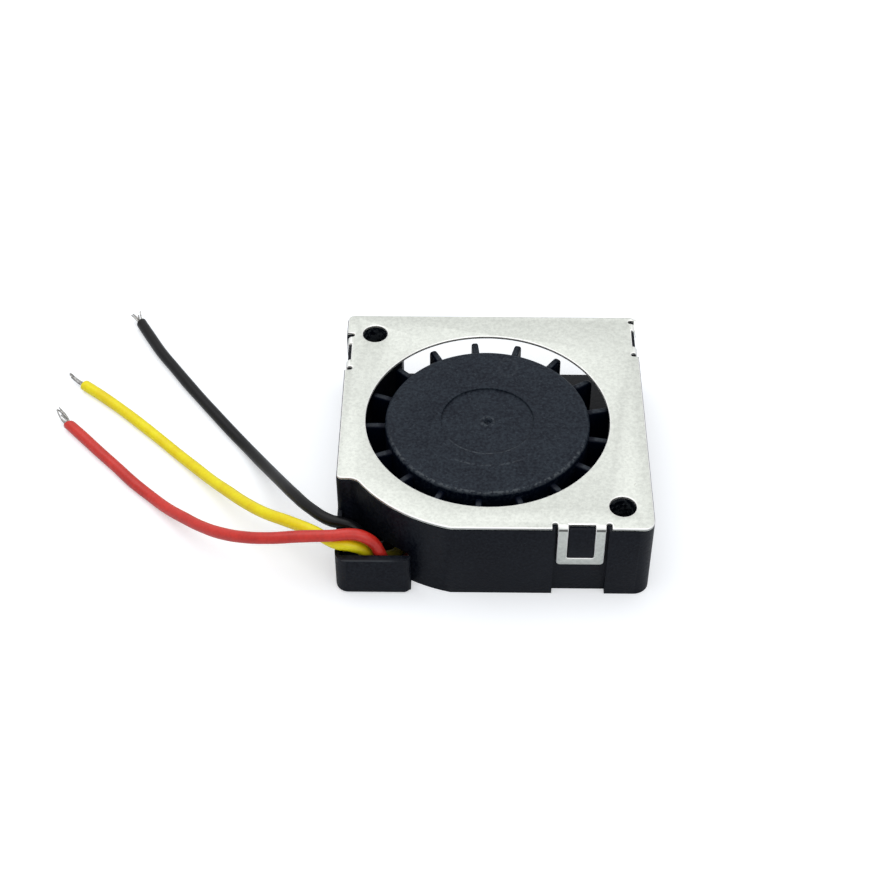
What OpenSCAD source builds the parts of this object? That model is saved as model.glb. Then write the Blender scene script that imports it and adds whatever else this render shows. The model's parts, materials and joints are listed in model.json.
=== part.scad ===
// Miniature radial blower: a moulded volute housing, a sheet-metal cover held by three latch
// tabs, and an outrunner motor whose rotor cup carries the blades. Millimetres.
// The origin is the centre of the square case at its underside. +Z points up to the inlet,
// +Y out of the outlet, and the pocket for the leads is at the -X, -Y corner.

/* [Case] */
// Side of the square case
case_side = 20; // [19.8:0.1:23]
// Overall height, cover included
case_height = 6.1; // [6.1:0.1:7]
// Thickness of the floor
floor_thickness = 0.6; // [0.5:0.05:0.7]
// Plan radius of the front right corner
front_corner_radius = 1.0; // [0.6:0.1:1.4]
// Plan radius of the two back corners
back_corner_radius = 0.4; // [0.2:0.1:0.8]
// How far the rotor's axis lies to the left of the case's middle
axis_to_left = 0.35; // [0.2:0.05:0.45]
// How far the rotor's axis lies in front of the case's middle
axis_to_front = 0.15; // [0:0.05:0.25]

/* [Volute] */
// Thickness of the right wall, along the outlet
side_wall = 0.8; // [0.7:0.05:1]
// Gap between the blade tips and the tongue
tongue_gap = 0.8; // [0.6:0.05:0.85]
// Growth of the volute's radius from one quarter to the next
volute_step = 0.15; // [0.05:0.05:0.2]
// Width of the solid corner beside the outlet
tongue_width = 3.8; // [3.3:0.1:4.4]
// Thickness of the volute's wall in the cut corner
corner_wall = 0.87; // [0.75:0.01:1]
// Length of the side that the cut corner takes away
cut_length = 4.2; // [3.9:0.1:4.8]
// Radius where the side wall runs into the volute's wall
cut_fillet = 0.9; // [0.5:0.1:1.2]
// Radius of the cut corner's outer edge
cut_edge_radius = 0.3; // [0.1:0.05:0.5]

/* [Lead pocket] */
// Height of the pocket's low walls
pocket_height = 3.1; // [2.6:0.1:3.1]
// Length of the pocket's front wall
pocket_length = 4.8; // [4.2:0.1:5]
// Thickness of the pocket's front wall
pocket_front_wall = 0.5; // [0.4:0.05:0.52]
// Thickness of the pocket's side wall
pocket_side_wall = 0.3; // [0.25:0.05:0.5]
// How far the pocket's front wall stands out of the case
pocket_step = 0.15; // [0.05:0.05:0.3]
// Plan radius of the pocket's corner
pocket_corner_radius = 0.8; // [0.3:0.1:1]
// Plan radius of the pocket's free end, beside the front wall
pocket_end_radius = 0.48; // [0.2:0.02:0.5]
// Bearing of the lead slot about the rotor's axis
slot_angle = 232; // [230:1:234]
// Width of the lead slot
slot_width = 3.0; // [2.9:0.1:3.4]
// Height of the lead slot above the floor
slot_height = 1.9; // [1.6:0.1:2.2]

/* [Cover and latches] */
// Sheet thickness of the cover
cover_thickness = 0.25; // [0.2:0.01:0.3]
// Distance of the cover's edge inside the case's edge
cover_margin = 0.05; // [0.02:0.01:0.1]
// Plan radius of the cover's front right corner
cover_corner_radius = 0.7; // [0.4:0.1:1.2]
// How far the cover reaches in over the blade tips
inlet_overlap = 0.3; // [0.1:0.05:0.8]
// Width of a latch tab
tab_width = 3.0; // [2.6:0.1:3.2]
// Height of a latch tab, from the cover's top face
tab_height = 3.45; // [3:0.05:4]
// Distance of a tab's outer face inside the case's face
tab_inset = 0.1; // [0.08:0.01:0.14]
// Inner radius of a tab's bend
bend_radius = 0.05; // [0.04:0.01:0.1]
// Width of the relief notch at each side of a tab
notch_width = 0.36; // [0.25:0.01:0.45]
// Depth of the relief notches from the cover's edge
notch_depth = 0.55; // [0.55:0.01:0.7]
// Width of the window in a tab
window_width = 1.67; // [1.3:0.01:1.8]
// Height of the bar below the window
bar_height = 0.62; // [0.45:0.01:0.8]
// Radius of the outer corners at a tab's lower end
tab_corner_radius = 0.27; // [0.1:0.01:0.4]
// Clearance between a catch and its window
latch_clearance = 0.04; // [0.02:0.01:0.06]
// Height of the upright part of a catch's face
catch_land = 1.0; // [0.6:0.1:1.6]
// How far a catch's face leans back from there to its top
catch_lean = 0.08; // [0.02:0.01:0.12]
// Centre of the front latch, from the right side of the case
front_latch_from_right = 4.55; // [4.4:0.05:5]
// Centre of the left latch, from the back of the case
left_latch_from_back = 3.75; // [3.7:0.05:4]
// Centre of the right latch, from the back of the case
right_latch_from_back = 2.2; // [2.2:0.05:2.6]

/* [Mounting holes] */
// Diameter of the two mounting holes
hole_diameter = 1.7; // [1.4:0.05:1.9]
// Distance of each hole's centre from both sides of its corner
hole_inset = 1.95; // [1.8:0.05:2.1]

/* [Impeller] */
// Number of blades
blade_count = 17; // [11:2:21]
// Thickness of a blade
blade_thickness = 0.45; // [0.35:0.05:0.6]
// Distance of the blades' tops below the cover's top face
blade_top_drop = 0.7; // [0.6:0.05:1]
// Radius of a blade's upper outer corner
blade_corner_radius = 0.35; // [0.1:0.05:0.5]
// Bearing of the first blade
first_blade_angle = 117; // [0:1:359]
// Diameter of the hub
hub_diameter = 13.46; // [12.8:0.02:13.6]
// Thickness of the hub's side wall
hub_wall = 0.63; // [0.5:0.01:0.7]
// Distance of the hub's top below the cover's top face
hub_top_drop = 0.25; // [0.2:0.05:0.5]
// Thickness of the hub's top
hub_top_thickness = 0.5; // [0.4:0.05:0.6]
// Radius of the hub's upper edge
hub_edge_radius = 0.25; // [0.1:0.05:0.35]
// Diameter of the shallow recess in the hub's top
recess_diameter = 6.1; // [4:0.1:8]
// Depth of the shallow recess
recess_depth = 0.18; // [0.05:0.01:0.2]
// Gap between the rotor and the floor
rotor_floor_gap = 1.1; // [1:0.05:1.2]

/* [Rotor and bearing] */
// Wall of the rotor cup
yoke_wall = 0.25; // [0.2:0.01:0.3]
// Radial thickness of the ring magnet
magnet_thickness = 0.7; // [0.6:0.05:0.75]
// Gap between the magnet and the cup's top
magnet_top_gap = 0.25; // [0.1:0.05:0.8]
// Distance of the magnet's underside above the cup's rim
magnet_rise = 0.25; // [0.1:0.05:0.3]
// Diameter of the shaft
shaft_diameter = 1.0; // [0.8:0.05:1.2]
// Running clearance between the shaft and its sleeve, on the radius
running_clearance = 0.02; // [0.015:0.005:0.04]
// Diameter of the boss that holds the shaft in the hub
boss_diameter = 2.2; // [1.8:0.1:2.4]
// Length of the shaft boss below the hub's top wall
boss_length = 0.9; // [0.7:0.05:0.95]
// Outer diameter of the sleeve bearing
sleeve_diameter = 2.4; // [2.1:0.05:2.5]
// Depth of the oil washer below the bearing tube's top
washer_depth = 0.19; // [0.05:0.01:0.4]
// Wall of the bearing tube
tube_wall = 0.4; // [0.3:0.05:0.5]
// Gap between the bearing tube and the shaft boss
tube_top_gap = 0.25; // [0.2:0.05:0.4]
// Depth of the tube's seat in the floor below the circuit board
tube_seat_depth = 0.2; // [0.1:0.02:0.25]
// Thickness of the thrust pad
thrust_pad_thickness = 0.2; // [0.15:0.05:0.25]
// Thickness of the oil washer
washer_thickness = 0.15; // [0.1:0.01:0.15]
// Outer diameter of the retaining ring
ring_diameter = 1.8; // [1.6:0.05:1.9]
// Thickness of the retaining ring
ring_thickness = 0.15; // [0.1:0.01:0.18]
// Depth of the ring's groove in the shaft
groove_depth = 0.15; // [0.1:0.01:0.18]
// Distance of the ring's groove from the shaft's lower end
groove_place = 0.2; // [0.15:0.01:0.22]
// Axial play of the ring below the sleeve, and of the shaft above the pad
axial_play = 0.08; // [0.05:0.01:0.1]

/* [Stator] */
// Air gap between the stator and the magnet
air_gap = 0.25; // [0.2:0.01:0.3]
// Number of stator teeth
tooth_count = 4; // [4:2:6]
// Width of a stator tooth
tooth_width = 1.1; // [0.8:0.1:1.2]
// Radial depth of a tooth's shoe
shoe_depth = 0.55; // [0.4:0.05:0.6]
// Gap between the shoes of neighbouring teeth, as an angle
shoe_gap_angle = 16; // [12:1:22]
// Wall of the stator's inner ring
core_wall = 0.8; // [0.6:0.05:0.85]
// Number of lamination sheets
sheet_count = 6; // [4:1:8]
// Thickness of one lamination sheet
sheet_thickness = 0.2; // [0.15:0.01:0.2]
// Thickness of the two insulators
insulator_thickness = 0.3; // [0.2:0.05:0.3]
// Height of the insulators' outer flanges
flange_height = 0.4; // [0.3:0.05:0.45]
// Height of the stator's insulator above the circuit board
stator_rise = 1.1; // [1.1:0.05:1.15]
// Distance of the insulators' edge inside the laminations' edge
insulator_setback = 0.1; // [0.05:0.01:0.15]
// Thickness of the insulators' outer flanges
flange_wall = 0.25; // [0.2:0.01:0.35]
// Thickness of a coil
coil_thickness = 0.4; // [0.3:0.05:0.4]
// Gap between a coil and the steel round it
coil_gap = 0.1; // [0.05:0.01:0.12]
// Diameter of a winding pin
pin_diameter = 0.3; // [0.2:0.05:0.35]

/* [Circuit board] */
// Diameter of the circuit board
board_diameter = 11.1; // [10.8:0.1:11.3]
// Thickness of the circuit board
board_thickness = 0.4; // [0.35:0.01:0.45]
// Depth of the recess that holds the board
board_recess = 0.2; // [0.15:0.01:0.25]
// Clearance around the board and around the tube
board_clearance = 0.1; // [0.05:0.01:0.15]
// Distance of the driver chip and the small parts from the rotor's axis
parts_place = 3.4; // [3.3:0.05:3.6]
// Length of the driver chip
chip_length = 1.9; // [1.6:0.1:2]
// Width of the driver chip
chip_width = 1.4; // [1.2:0.1:1.5]
// Height of the driver chip
chip_height = 0.5; // [0.4:0.05:0.55]

/* [Leads] */
// Outer diameter of a lead
lead_diameter = 0.8; // [0.7:0.02:0.8]
// Diameter of one strand of the conductor
strand_diameter = 0.1; // [0.08:0.01:0.1]
// Length of the strands at a lead's free end
strand_length = 1.5; // [1:0.1:2]
// Length of the stripped conductor at the board
tail_length = 1.2; // [1:0.1:1.3]

/* [Hidden] */
$fn = 72;
reach = 0.5; // how far a cutter runs past the face that it opens
bite = 0.003; // how far two curves that should just touch run into each other

half = case_side / 2;
axis_x = -axis_to_left;
axis_y = -axis_to_front;
axis = [axis_x, axis_y];
seat_z = case_height - cover_thickness;
hole_place = half - hole_inset;

// Volute: three arcs that meet with a common tangent, each smaller than the one before. The
// largest reaches the right wall, and the blades run inside the smallest.
duct_left = tongue_width - half;
duct_right = half - side_wall;
centre_b = [axis_x + volute_step, axis_y];
centre_c = [centre_b[0], axis_y + volute_step];
volute_c = duct_right - centre_c[0];
volute_b = volute_c - volute_step;
volute_a = volute_b - volute_step;
corner_wall_radius = volute_b + corner_wall;
blade_tip_radius = volute_a - tongue_gap;

// Levels and radii of the rotor
rotor_bottom = floor_thickness + rotor_floor_gap;
hub_top = case_height - hub_top_drop;
blade_top = case_height - blade_top_drop;
hub_ceiling = hub_top - hub_top_thickness;
hub_radius = hub_diameter / 2;
yoke_radius = hub_radius - hub_wall;
magnet_radius = yoke_radius - yoke_wall;
magnet_bottom = rotor_bottom + magnet_rise;
magnet_top = hub_ceiling - yoke_wall - magnet_top_gap;

// Levels of the board, the bearing and the stator
board_bottom = floor_thickness - board_recess;
board_top = board_bottom + board_thickness;
tube_bottom = board_bottom - tube_seat_depth;
tube_top = hub_ceiling - boss_length - tube_top_gap;
tube_radius = sleeve_diameter / 2 + tube_wall;
pad_top = tube_bottom + thrust_pad_thickness;
shaft_bottom = pad_top + axial_play;
shaft_top = hub_top - hub_top_thickness / 2;
ring_bottom = shaft_bottom + groove_place;
sleeve_bottom = ring_bottom + ring_thickness + axial_play;
sleeve_top = tube_top - washer_depth - washer_thickness;
insulator_bottom = board_top + stator_rise;
core_bottom = insulator_bottom + insulator_thickness;
core_top = core_bottom + sheet_count * sheet_thickness;
insulator_top = core_top + insulator_thickness;
core_radius = tube_radius + core_wall;
stator_radius = magnet_radius - magnet_thickness - air_gap;
shoe_radius = stator_radius - shoe_depth;
pin_place = stator_radius - shoe_depth / 2;
shoe_angle = 360 / tooth_count - shoe_gap_angle;
flange_angle = 0.4 * shoe_angle; // arc of an insulator's outer flange
pin_turn = 0.3 * shoe_angle; // bearing of a winding pin from its tooth
lead_pad = 0.42; // radius of a lead's solder joint
lead_solder_height = 0.4;
pin_pad = 0.32; // radius of a winding pin's solder joint
pin_solder_height = 0.25;

// Where a tab's bend starts, from the case's face: the depth of its channel too
bend_start = tab_inset + cover_thickness + bend_radius;

// Routes of the leads' centre lines, from the board to the free end. Inside the case they lie on
// the floor below the rotor, then they rise through the pocket and come down to the table.
red_route = [
    [-3.45, -5.6, 1], [-4.3, -6.7, 1], [-5.2, -7.8, 1], [-5.8, -8.55, 1.1], [-6.4, -9.05, 1.45],
    [-6.85, -9.2, 2.05], [-7.15, -9.2, 2.8], [-7.45, -9.05, 3.45], [-8, -9, 4],
    [-8.7, -8.95, 4.25], [-10.15, -9.1, 4.3], [-12.1, -9.05, 4.15], [-14.05, -8.85, 3.75],
    [-15.8, -8.3, 3.2], [-17.4, -7.4, 2.55], [-18.85, -6.25, 1.9], [-20.2, -4.95, 1.3],
    [-21.55, -3.6, 0.75], [-22.9, -2.2, 0.45], [-24.3, -0.85, 0.4], [-25.65, 0.6, 0.4],
    [-27, 2, 0.4], [-28.35, 3.45, 0.4], [-29.5, 4.65, 0.4]
];
yellow_route = [
    [-4.15, -5.05, 1], [-5.05, -6.15, 1], [-5.9, -7.25, 1], [-6.45, -7.9, 1.15], [-7, -8.35, 1.5],
    [-7.55, -8.75, 2], [-7.95, -9, 2.5], [-8.4, -9.05, 3.05], [-9.05, -9.1, 3.4],
    [-9.8, -9.05, 3.5], [-11.45, -7.9, 3.4], [-13.15, -6.8, 3.1], [-14.75, -5.6, 2.55],
    [-16.2, -4.2, 2], [-17.5, -2.7, 1.45], [-18.8, -1.2, 0.95], [-20.15, 0.35, 0.6],
    [-21.55, 1.85, 0.4], [-23, 3.3, 0.4], [-24.5, 4.75, 0.4], [-26, 6.15, 0.4],
    [-27.55, 7.5, 0.4], [-29.05, 8.7, 0.4]
];
black_route = [
    [-4.9, -4.5, 1], [-5.75, -5.6, 1], [-6.4, -6.4, 1], [-6.95, -7.05, 1.15], [-7.45, -7.5, 1.5],
    [-7.9, -7.7, 2.05], [-8.35, -7.65, 2.7], [-8.95, -7.45, 3.3], [-9.75, -7.25, 3.5],
    [-10.3, -7.1, 3.5], [-11.8, -5.8, 3.3], [-12.95, -4.2, 2.85], [-13.9, -2.55, 2.2],
    [-14.8, -0.9, 1.5], [-15.8, 0.8, 0.9], [-16.85, 2.45, 0.5], [-18.05, 4.05, 0.4],
    [-19.3, 5.7, 0.4], [-20.5, 7.3, 0.4], [-21.7, 8.95, 0.4], [-22.85, 10.6, 0.4],
    [-24, 12.25, 0.4], [-25.05, 14, 0.4], [-25.95, 15.55, 0.4]
];
lead_sides = 8;
tail_radius = 1.5 * strand_diameter; // the seven strands, tinned together
// How far each bundle opens towards its tip, and how far the red one bends aside
red_fan = 2;
yellow_fan = 1.2;
black_fan = 2.8;
red_bend = 0.2;

// ---- helpers ----

// Unit vector along v
function unit(v) = v / norm(v);

// Direction of a route at its point i
function heading(route, i) =
    unit(route[min(i + 1, len(route) - 1)] - route[max(i - 1, 0)]);

// One ring of a tube: points round a centre, square to a direction
function ring_points(centre, way, radius, sides) =
    let (
        side = unit(cross([0, 0, 1], way)),
        up = cross(way, side)
    )
    [for (k = [0 : sides - 1])
        let (turn = (k + 0.5) * 360 / sides)
        centre + radius * (cos(turn) * side + sin(turn) * up)];

// A tube swept along a route
module tube_along(route, diameter) {
    count = len(route);
    points = [for (i = [0 : count - 1])
        each ring_points(route[i], heading(route, i), diameter / 2, lead_sides)];
    walls = [for (i = [0 : count - 2], k = [0 : lead_sides - 1])
        let (next = (k + 1) % lead_sides)
        [i * lead_sides + next, i * lead_sides + k,
         (i + 1) * lead_sides + k, (i + 1) * lead_sides + next]];
    first = [for (k = [0 : lead_sides - 1]) k];
    last = [for (k = [lead_sides - 1 : -1 : 0]) (count - 1) * lead_sides + k];
    polyhedron(points, concat(walls, [first, last]));
}

// A round rod from one point to another
module rod(from, to, radius) {
    way = to - from;
    translate(from)
        rotate([0, acos(way[2] / norm(way)), atan2(way[1], way[0])])
            cylinder(r = radius, h = norm(way), $fn = 24);
}

// A ring: an upright tube with a given wall
module ring(outer, inner, height) {
    rotate_extrude()
        translate([inner, 0])
            square([outer - inner, height]);
}

// The part of a square corner that rounding removes; the corner is at the origin, the body at +X +Y
module corner_waste(radius) {
    difference() {
        translate([-reach, -reach])
            square(radius + reach);
        translate([radius, radius])
            circle(radius);
    }
}

// A rectangle on the origin with round corners
module round_rectangle(size_x, size_y, radius) {
    difference() {
        square([size_x, size_y], center = true);
        for (sx = [0, 1], sy = [0, 1])
            mirror([sx, 0])
                mirror([0, sy])
                    translate([-size_x / 2, -size_y / 2])
                        corner_waste(radius);
    }
}

// Puts a piece of a latch, drawn for the front wall, at each of the three latches. There
// the case's face is at y = 0, the case lies at +Y, and the latch is centred on x = 0.
module at_latches() {
    translate([half - front_latch_from_right, -half])
        children();
    translate([-half, half - left_latch_from_back])
        rotate(-90)
            children();
    translate([half, half - right_latch_from_back])
        rotate(90)
            children();
}

// The two places of the mounting holes
module at_holes() {
    for (place = [[-hole_place, hole_place], [hole_place, -hole_place]])
        translate(place)
            children();
}

// ---- case outline, shared by the housing and the cover ----

// The square with its cut corner. margin moves the whole outline inwards.
module case_outline(margin, front_radius, back_radius) {
    side = half - margin;
    wall = corner_wall_radius - margin;
    cut_y = cut_length - half + margin;
    // centre of the fillet between the cut's flat and the round wall, from the rotor's axis
    fillet_y = cut_y - axis_y - cut_fillet;
    fillet_x = -sqrt(pow(wall + cut_fillet, 2) - pow(fillet_y, 2));
    touch = [fillet_x, fillet_y] * wall / (wall + cut_fillet);
    difference() {
        square(2 * side, center = true);
        translate([side, -side])
            mirror([1, 0])
                corner_waste(front_radius);
        for (k = [0, 1])
            mirror([k, 0])
                translate([-side, side])
                    mirror([0, 1])
                        corner_waste(back_radius);
        translate([-side, cut_y])
            corner_waste(cut_edge_radius);
        difference() {
            translate([-side - reach, -side - reach])
                square([side + axis_x + reach, cut_y + side + reach]);
            translate(axis)
                circle(wall);
            translate(axis)
                difference() {
                    polygon([
                        [fillet_x, fillet_y], [fillet_x, fillet_y + cut_fillet + reach / 5],
                        [touch[0], fillet_y + cut_fillet + reach / 5], touch
                    ]);
                    translate([fillet_x, fillet_y])
                        circle(cut_fillet + bite);
                }
        }
    }
}

// The plan of the air space: three arcs of the volute and the outlet duct
module volute_plan() {
    translate(axis)
        circle(volute_a);
    intersection() {
        translate(centre_b)
            circle(volute_b);
        translate(centre_b - [case_side, case_side])
            square(case_side);
    }
    intersection() {
        translate(centre_c)
            circle(volute_c);
        translate(centre_c - [0, case_side])
            square(case_side);
    }
    translate([duct_left, centre_c[1]])
        square([duct_right - duct_left, half + reach - centre_c[1]]);
}

// ---- housing ----

module pocket_floor_plan() {
    front = -half - pocket_step;
    difference() {
        translate([-half, front])
            square([pocket_length, cut_length + pocket_step + reach]);
        translate([-half, front])
            corner_waste(pocket_corner_radius);
        translate([pocket_length - half, front])
            mirror([1, 0])
                corner_waste(pocket_end_radius);
    }
}

module pocket_wall_plan() {
    front = -half - pocket_step;
    difference() {
        translate([-half, front])
            square([pocket_length, cut_length + pocket_step + cut_edge_radius]);
        translate([pocket_side_wall - half, front + pocket_front_wall])
            square([pocket_length, cut_length + pocket_step + reach]);
        translate([-half, front])
            corner_waste(pocket_corner_radius);
        translate([pocket_length - half, front])
            mirror([1, 0])
                corner_waste(pocket_end_radius);
    }
}

module latch_channel() {
    width = tab_width + notch_width;
    translate([-width / 2, -reach, -reach])
        cube([width, bend_start + reach, case_height + 2 * reach]);
}

module latch_catch() {
    width = window_width - 2 * latch_clearance;
    back = bend_start + reach / 5;
    bottom = case_height - tab_height + bar_height + latch_clearance;
    // in side view the face is upright at its lower end and leans back towards the cover
    translate([-width / 2, 0])
        rotate([90, 0, 90])
            linear_extrude(width)
                polygon([
                    [back, bottom], [tab_inset, bottom], [tab_inset, bottom + catch_land],
                    [tab_inset + catch_lean, seat_z], [back, seat_z]
                ]);
}

module lead_slot() {
    translate(axis)
        rotate(slot_angle)
            translate([blade_tip_radius, -slot_width / 2, floor_thickness])
                cube([corner_wall_radius - blade_tip_radius + reach, slot_width, slot_height]);
}

module housing() {
    color("#22262c")
        difference() {
            union() {
                difference() {
                    linear_extrude(seat_z)
                        case_outline(0, front_corner_radius, back_corner_radius);
                    translate([0, 0, floor_thickness])
                        linear_extrude(case_height)
                            volute_plan();
                    at_latches()
                        latch_channel();
                    lead_slot();
                }
                at_latches()
                    latch_catch();
                difference() {
                    union() {
                        linear_extrude(floor_thickness)
                            pocket_floor_plan();
                        linear_extrude(pocket_height)
                            pocket_wall_plan();
                    }
                    translate([axis_x, axis_y, -reach])
                        cylinder(r = corner_wall_radius - reach, h = case_height);
                }
            }
            at_holes()
                translate([0, 0, -reach])
                    cylinder(d = hole_diameter, h = case_height + 2 * reach);
            translate([axis_x, axis_y, board_bottom])
                cylinder(d = board_diameter + 2 * board_clearance, h = board_thickness);
            translate([axis_x, axis_y, tube_bottom])
                cylinder(r = tube_radius, h = board_thickness);
        }
}

// ---- cover ----

module cover_sheet_plan() {
    difference() {
        case_outline(cover_margin, cover_corner_radius, back_corner_radius);
        translate(axis)
            circle(blade_tip_radius - inlet_overlap, $fn = 180);
        at_holes()
            circle(d = hole_diameter);
        at_latches() {
            // the sheet ends where the bend starts
            translate([-tab_width / 2 - reach / 50, -reach])
                square([tab_width + reach / 25, reach + bend_start]);
            for (k = [0, 1])
                mirror([k, 0])
                    translate([tab_width / 2, -reach])
                        square([notch_width, notch_depth + reach]);
        }
    }
}

// One tab: a quarter bend and an upright leg with a window
module cover_tab() {
    outer = bend_radius + cover_thickness;
    leg_height = tab_height - outer;
    difference() {
        union() {
            translate([-tab_width / 2, bend_start, case_height - outer])
                rotate([90, 0, 90])
                    linear_extrude(tab_width)
                        intersection() {
                            difference() {
                                circle(outer);
                                circle(bend_radius);
                            }
                            translate([-outer, 0])
                                square(outer);
                        }
            translate([0, tab_inset + cover_thickness, case_height - tab_height])
                rotate([90, 0, 0])
                    linear_extrude(cover_thickness)
                        difference() {
                            translate([-tab_width / 2, 0])
                                square([tab_width, leg_height]);
                            for (k = [0, 1])
                                mirror([k, 0])
                                    translate([-tab_width / 2, 0])
                                        corner_waste(tab_corner_radius);
                        }
        }
        translate([-window_width / 2, -reach, case_height - tab_height + bar_height])
            cube([window_width, 2 * reach + outer, tab_height]);
    }
}

module top_cover() {
    color("#c9ccc6") {
        translate([0, 0, seat_z])
            linear_extrude(cover_thickness)
                cover_sheet_plan();
        at_latches()
            cover_tab();
    }
}

// ---- impeller ----

// Half section of the hub: a cup with a rounded upper edge, a recess and a shaft boss
module hub_section() {
    difference() {
        union() {
            translate([yoke_radius, rotor_bottom])
                square([hub_radius - yoke_radius, hub_top - hub_edge_radius - rotor_bottom]);
            translate([0, hub_ceiling])
                square([hub_radius - hub_edge_radius, hub_top_thickness]);
            translate([0, hub_ceiling])
                square([hub_radius, hub_top_thickness - hub_edge_radius]);
            intersection() {
                translate([hub_radius - hub_edge_radius, hub_top - hub_edge_radius])
                    circle(hub_edge_radius);
                translate([0, rotor_bottom])
                    square([hub_radius, case_height]);
            }
            translate([0, hub_ceiling - boss_length])
                square([boss_diameter / 2, boss_length]);
        }
        translate([-reach, hub_top - recess_depth])
            square([reach + recess_diameter / 2, case_height]);
        translate([-reach, 0])
            square([reach + shaft_diameter / 2, shaft_top]);
    }
}

// One blade: its plan is a bar with a round tip, and its side view has a round upper corner
module blade() {
    root = (yoke_radius + hub_radius) / 2;
    height = blade_top - rotor_bottom;
    intersection() {
        translate([0, 0, rotor_bottom])
            linear_extrude(height) {
                translate([root, -blade_thickness / 2])
                    square([blade_tip_radius - root - blade_thickness / 2, blade_thickness]);
                translate([blade_tip_radius - blade_thickness / 2, 0])
                    circle(d = blade_thickness, $fn = 24);
            }
        translate([0, blade_thickness, rotor_bottom])
            rotate([90, 0, 0])
                linear_extrude(2 * blade_thickness)
                    difference() {
                        square([blade_tip_radius, height]);
                        translate([blade_tip_radius, height])
                            mirror([1, 0])
                                mirror([0, 1])
                                    corner_waste(blade_corner_radius);
                    }
    }
}

module impeller() {
    color("#2b333c")
        translate(axis) {
            rotate_extrude($fn = 144)
                hub_section();
            for (k = [0 : blade_count - 1])
                rotate(first_blade_angle + k * 360 / blade_count)
                    blade();
        }
}

// ---- rotor ----

module rotor_yoke() {
    color("#8b8f92")
        translate(axis)
            rotate_extrude() {
                translate([magnet_radius, rotor_bottom])
                    square([yoke_wall, hub_ceiling - rotor_bottom]);
                translate([boss_diameter / 2 + running_clearance, hub_ceiling - yoke_wall])
                    square([magnet_radius - boss_diameter / 2, yoke_wall]);
            }
}

module rotor_magnet() {
    color("#3a3d40")
        translate([axis_x, axis_y, magnet_bottom])
            ring(magnet_radius, magnet_radius - magnet_thickness, magnet_top - magnet_bottom);
}

module shaft() {
    color("#d0d3d6")
        translate(axis)
            difference() {
                translate([0, 0, shaft_bottom])
                    cylinder(d = shaft_diameter, h = shaft_top - shaft_bottom);
                translate([0, 0, ring_bottom])
                    ring(shaft_diameter, shaft_diameter / 2 - groove_depth, ring_thickness);
            }
}

// A split ring that snaps into the shaft's groove
module retaining_ring() {
    gap = 0.35;
    color("#b8bbbe")
        translate([axis_x, axis_y, ring_bottom])
            difference() {
                ring(ring_diameter / 2, shaft_diameter / 2 - groove_depth, ring_thickness);
                translate([0, -gap / 2, -reach])
                    cube([ring_diameter, gap, 2 * reach]);
            }
}

// ---- bearing ----

module oil_washer() {
    color("#e4dfcf")
        translate([axis_x, axis_y, sleeve_top])
            ring(sleeve_diameter / 2, shaft_diameter / 2 + 3 * running_clearance, washer_thickness);
}

module bearing_sleeve() {
    color("#a9743f")
        translate([axis_x, axis_y, sleeve_bottom])
            ring(sleeve_diameter / 2, shaft_diameter / 2 + running_clearance,
                 sleeve_top - sleeve_bottom);
}

module bearing_tube() {
    color("#c8a552")
        translate([axis_x, axis_y, tube_bottom])
            ring(tube_radius, sleeve_diameter / 2, tube_top - tube_bottom);
}

module thrust_pad() {
    color("#f0ede4")
        translate([axis_x, axis_y, tube_bottom])
            cylinder(d = sleeve_diameter, h = thrust_pad_thickness);
}

// ---- stator ----

// The plan of the teeth: an inner ring, straight arms and curved shoes
module stator_plan(arm, outer, inner_shoe, angle) {
    difference() {
        union() {
            circle(core_radius);
            for (k = [0 : tooth_count - 1])
                rotate(k * 360 / tooth_count) {
                    translate([0, -arm / 2])
                        square([shoe_radius + shoe_depth / 2, arm]);
                    shoe_arc(outer, inner_shoe, angle);
                }
        }
        circle(tube_radius);
    }
}

module shoe_arc(outer, inner, angle) {
    far = 2 * outer;
    intersection() {
        difference() {
            circle(outer);
            circle(inner);
        }
        polygon([[0, 0], far * [cos(angle / 2), -sin(angle / 2)],
                 far * [cos(angle / 2), sin(angle / 2)]]);
    }
}

module stator_laminations() {
    color("#9aa0a6")
        for (k = [0 : sheet_count - 1])
            translate([axis_x, axis_y, core_bottom + k * sheet_thickness])
                linear_extrude(sheet_thickness)
                    stator_plan(tooth_width, stator_radius, shoe_radius, shoe_angle);
}

// The plate and the upright flanges that both insulators share, drawn with the flanges upwards
module insulator_form() {
    setback_angle = atan(insulator_setback / shoe_radius);
    linear_extrude(insulator_thickness)
        stator_plan(tooth_width, stator_radius - insulator_setback, shoe_radius,
                    shoe_angle - 2 * setback_angle);
    linear_extrude(insulator_thickness + flange_height)
        for (k = [0 : tooth_count - 1])
            rotate(k * 360 / tooth_count)
                shoe_arc(shoe_radius + flange_wall, shoe_radius, flange_angle);
}

module upper_insulator() {
    color("#e8e4d8")
        translate([axis_x, axis_y, core_top])
            insulator_form();
}

module lower_insulator() {
    color("#e8e4d8")
        translate(axis) {
            translate([0, 0, core_bottom])
                mirror([0, 0, 1])
                    insulator_form();
            translate([0, 0, board_top])
                ring(core_radius - insulator_setback, tube_radius, stator_rise);
        }
}

module windings() {
    inner_w = tooth_width + 2 * coil_gap;
    inner_h = insulator_top - insulator_bottom;
    // the coil ends where its outer corners reach the curved shoe
    start = core_radius + coil_gap;
    corner = inner_w / 2 + coil_thickness;
    length = sqrt(pow(shoe_radius - coil_gap, 2) - pow(corner, 2)) - start;
    color("#b4622a")
        translate([axis_x, axis_y, (insulator_top + insulator_bottom) / 2])
            for (k = [0 : tooth_count - 1])
                rotate(k * 360 / tooth_count)
                    translate([start, 0, 0])
                        rotate([90, 0, 90])
                            linear_extrude(length)
                                difference() {
                                    round_rectangle(inner_w + 2 * coil_thickness,
                                                    inner_h + 2 * coil_thickness, coil_thickness);
                                    square([inner_w, inner_h], center = true);
                                }
}

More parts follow.
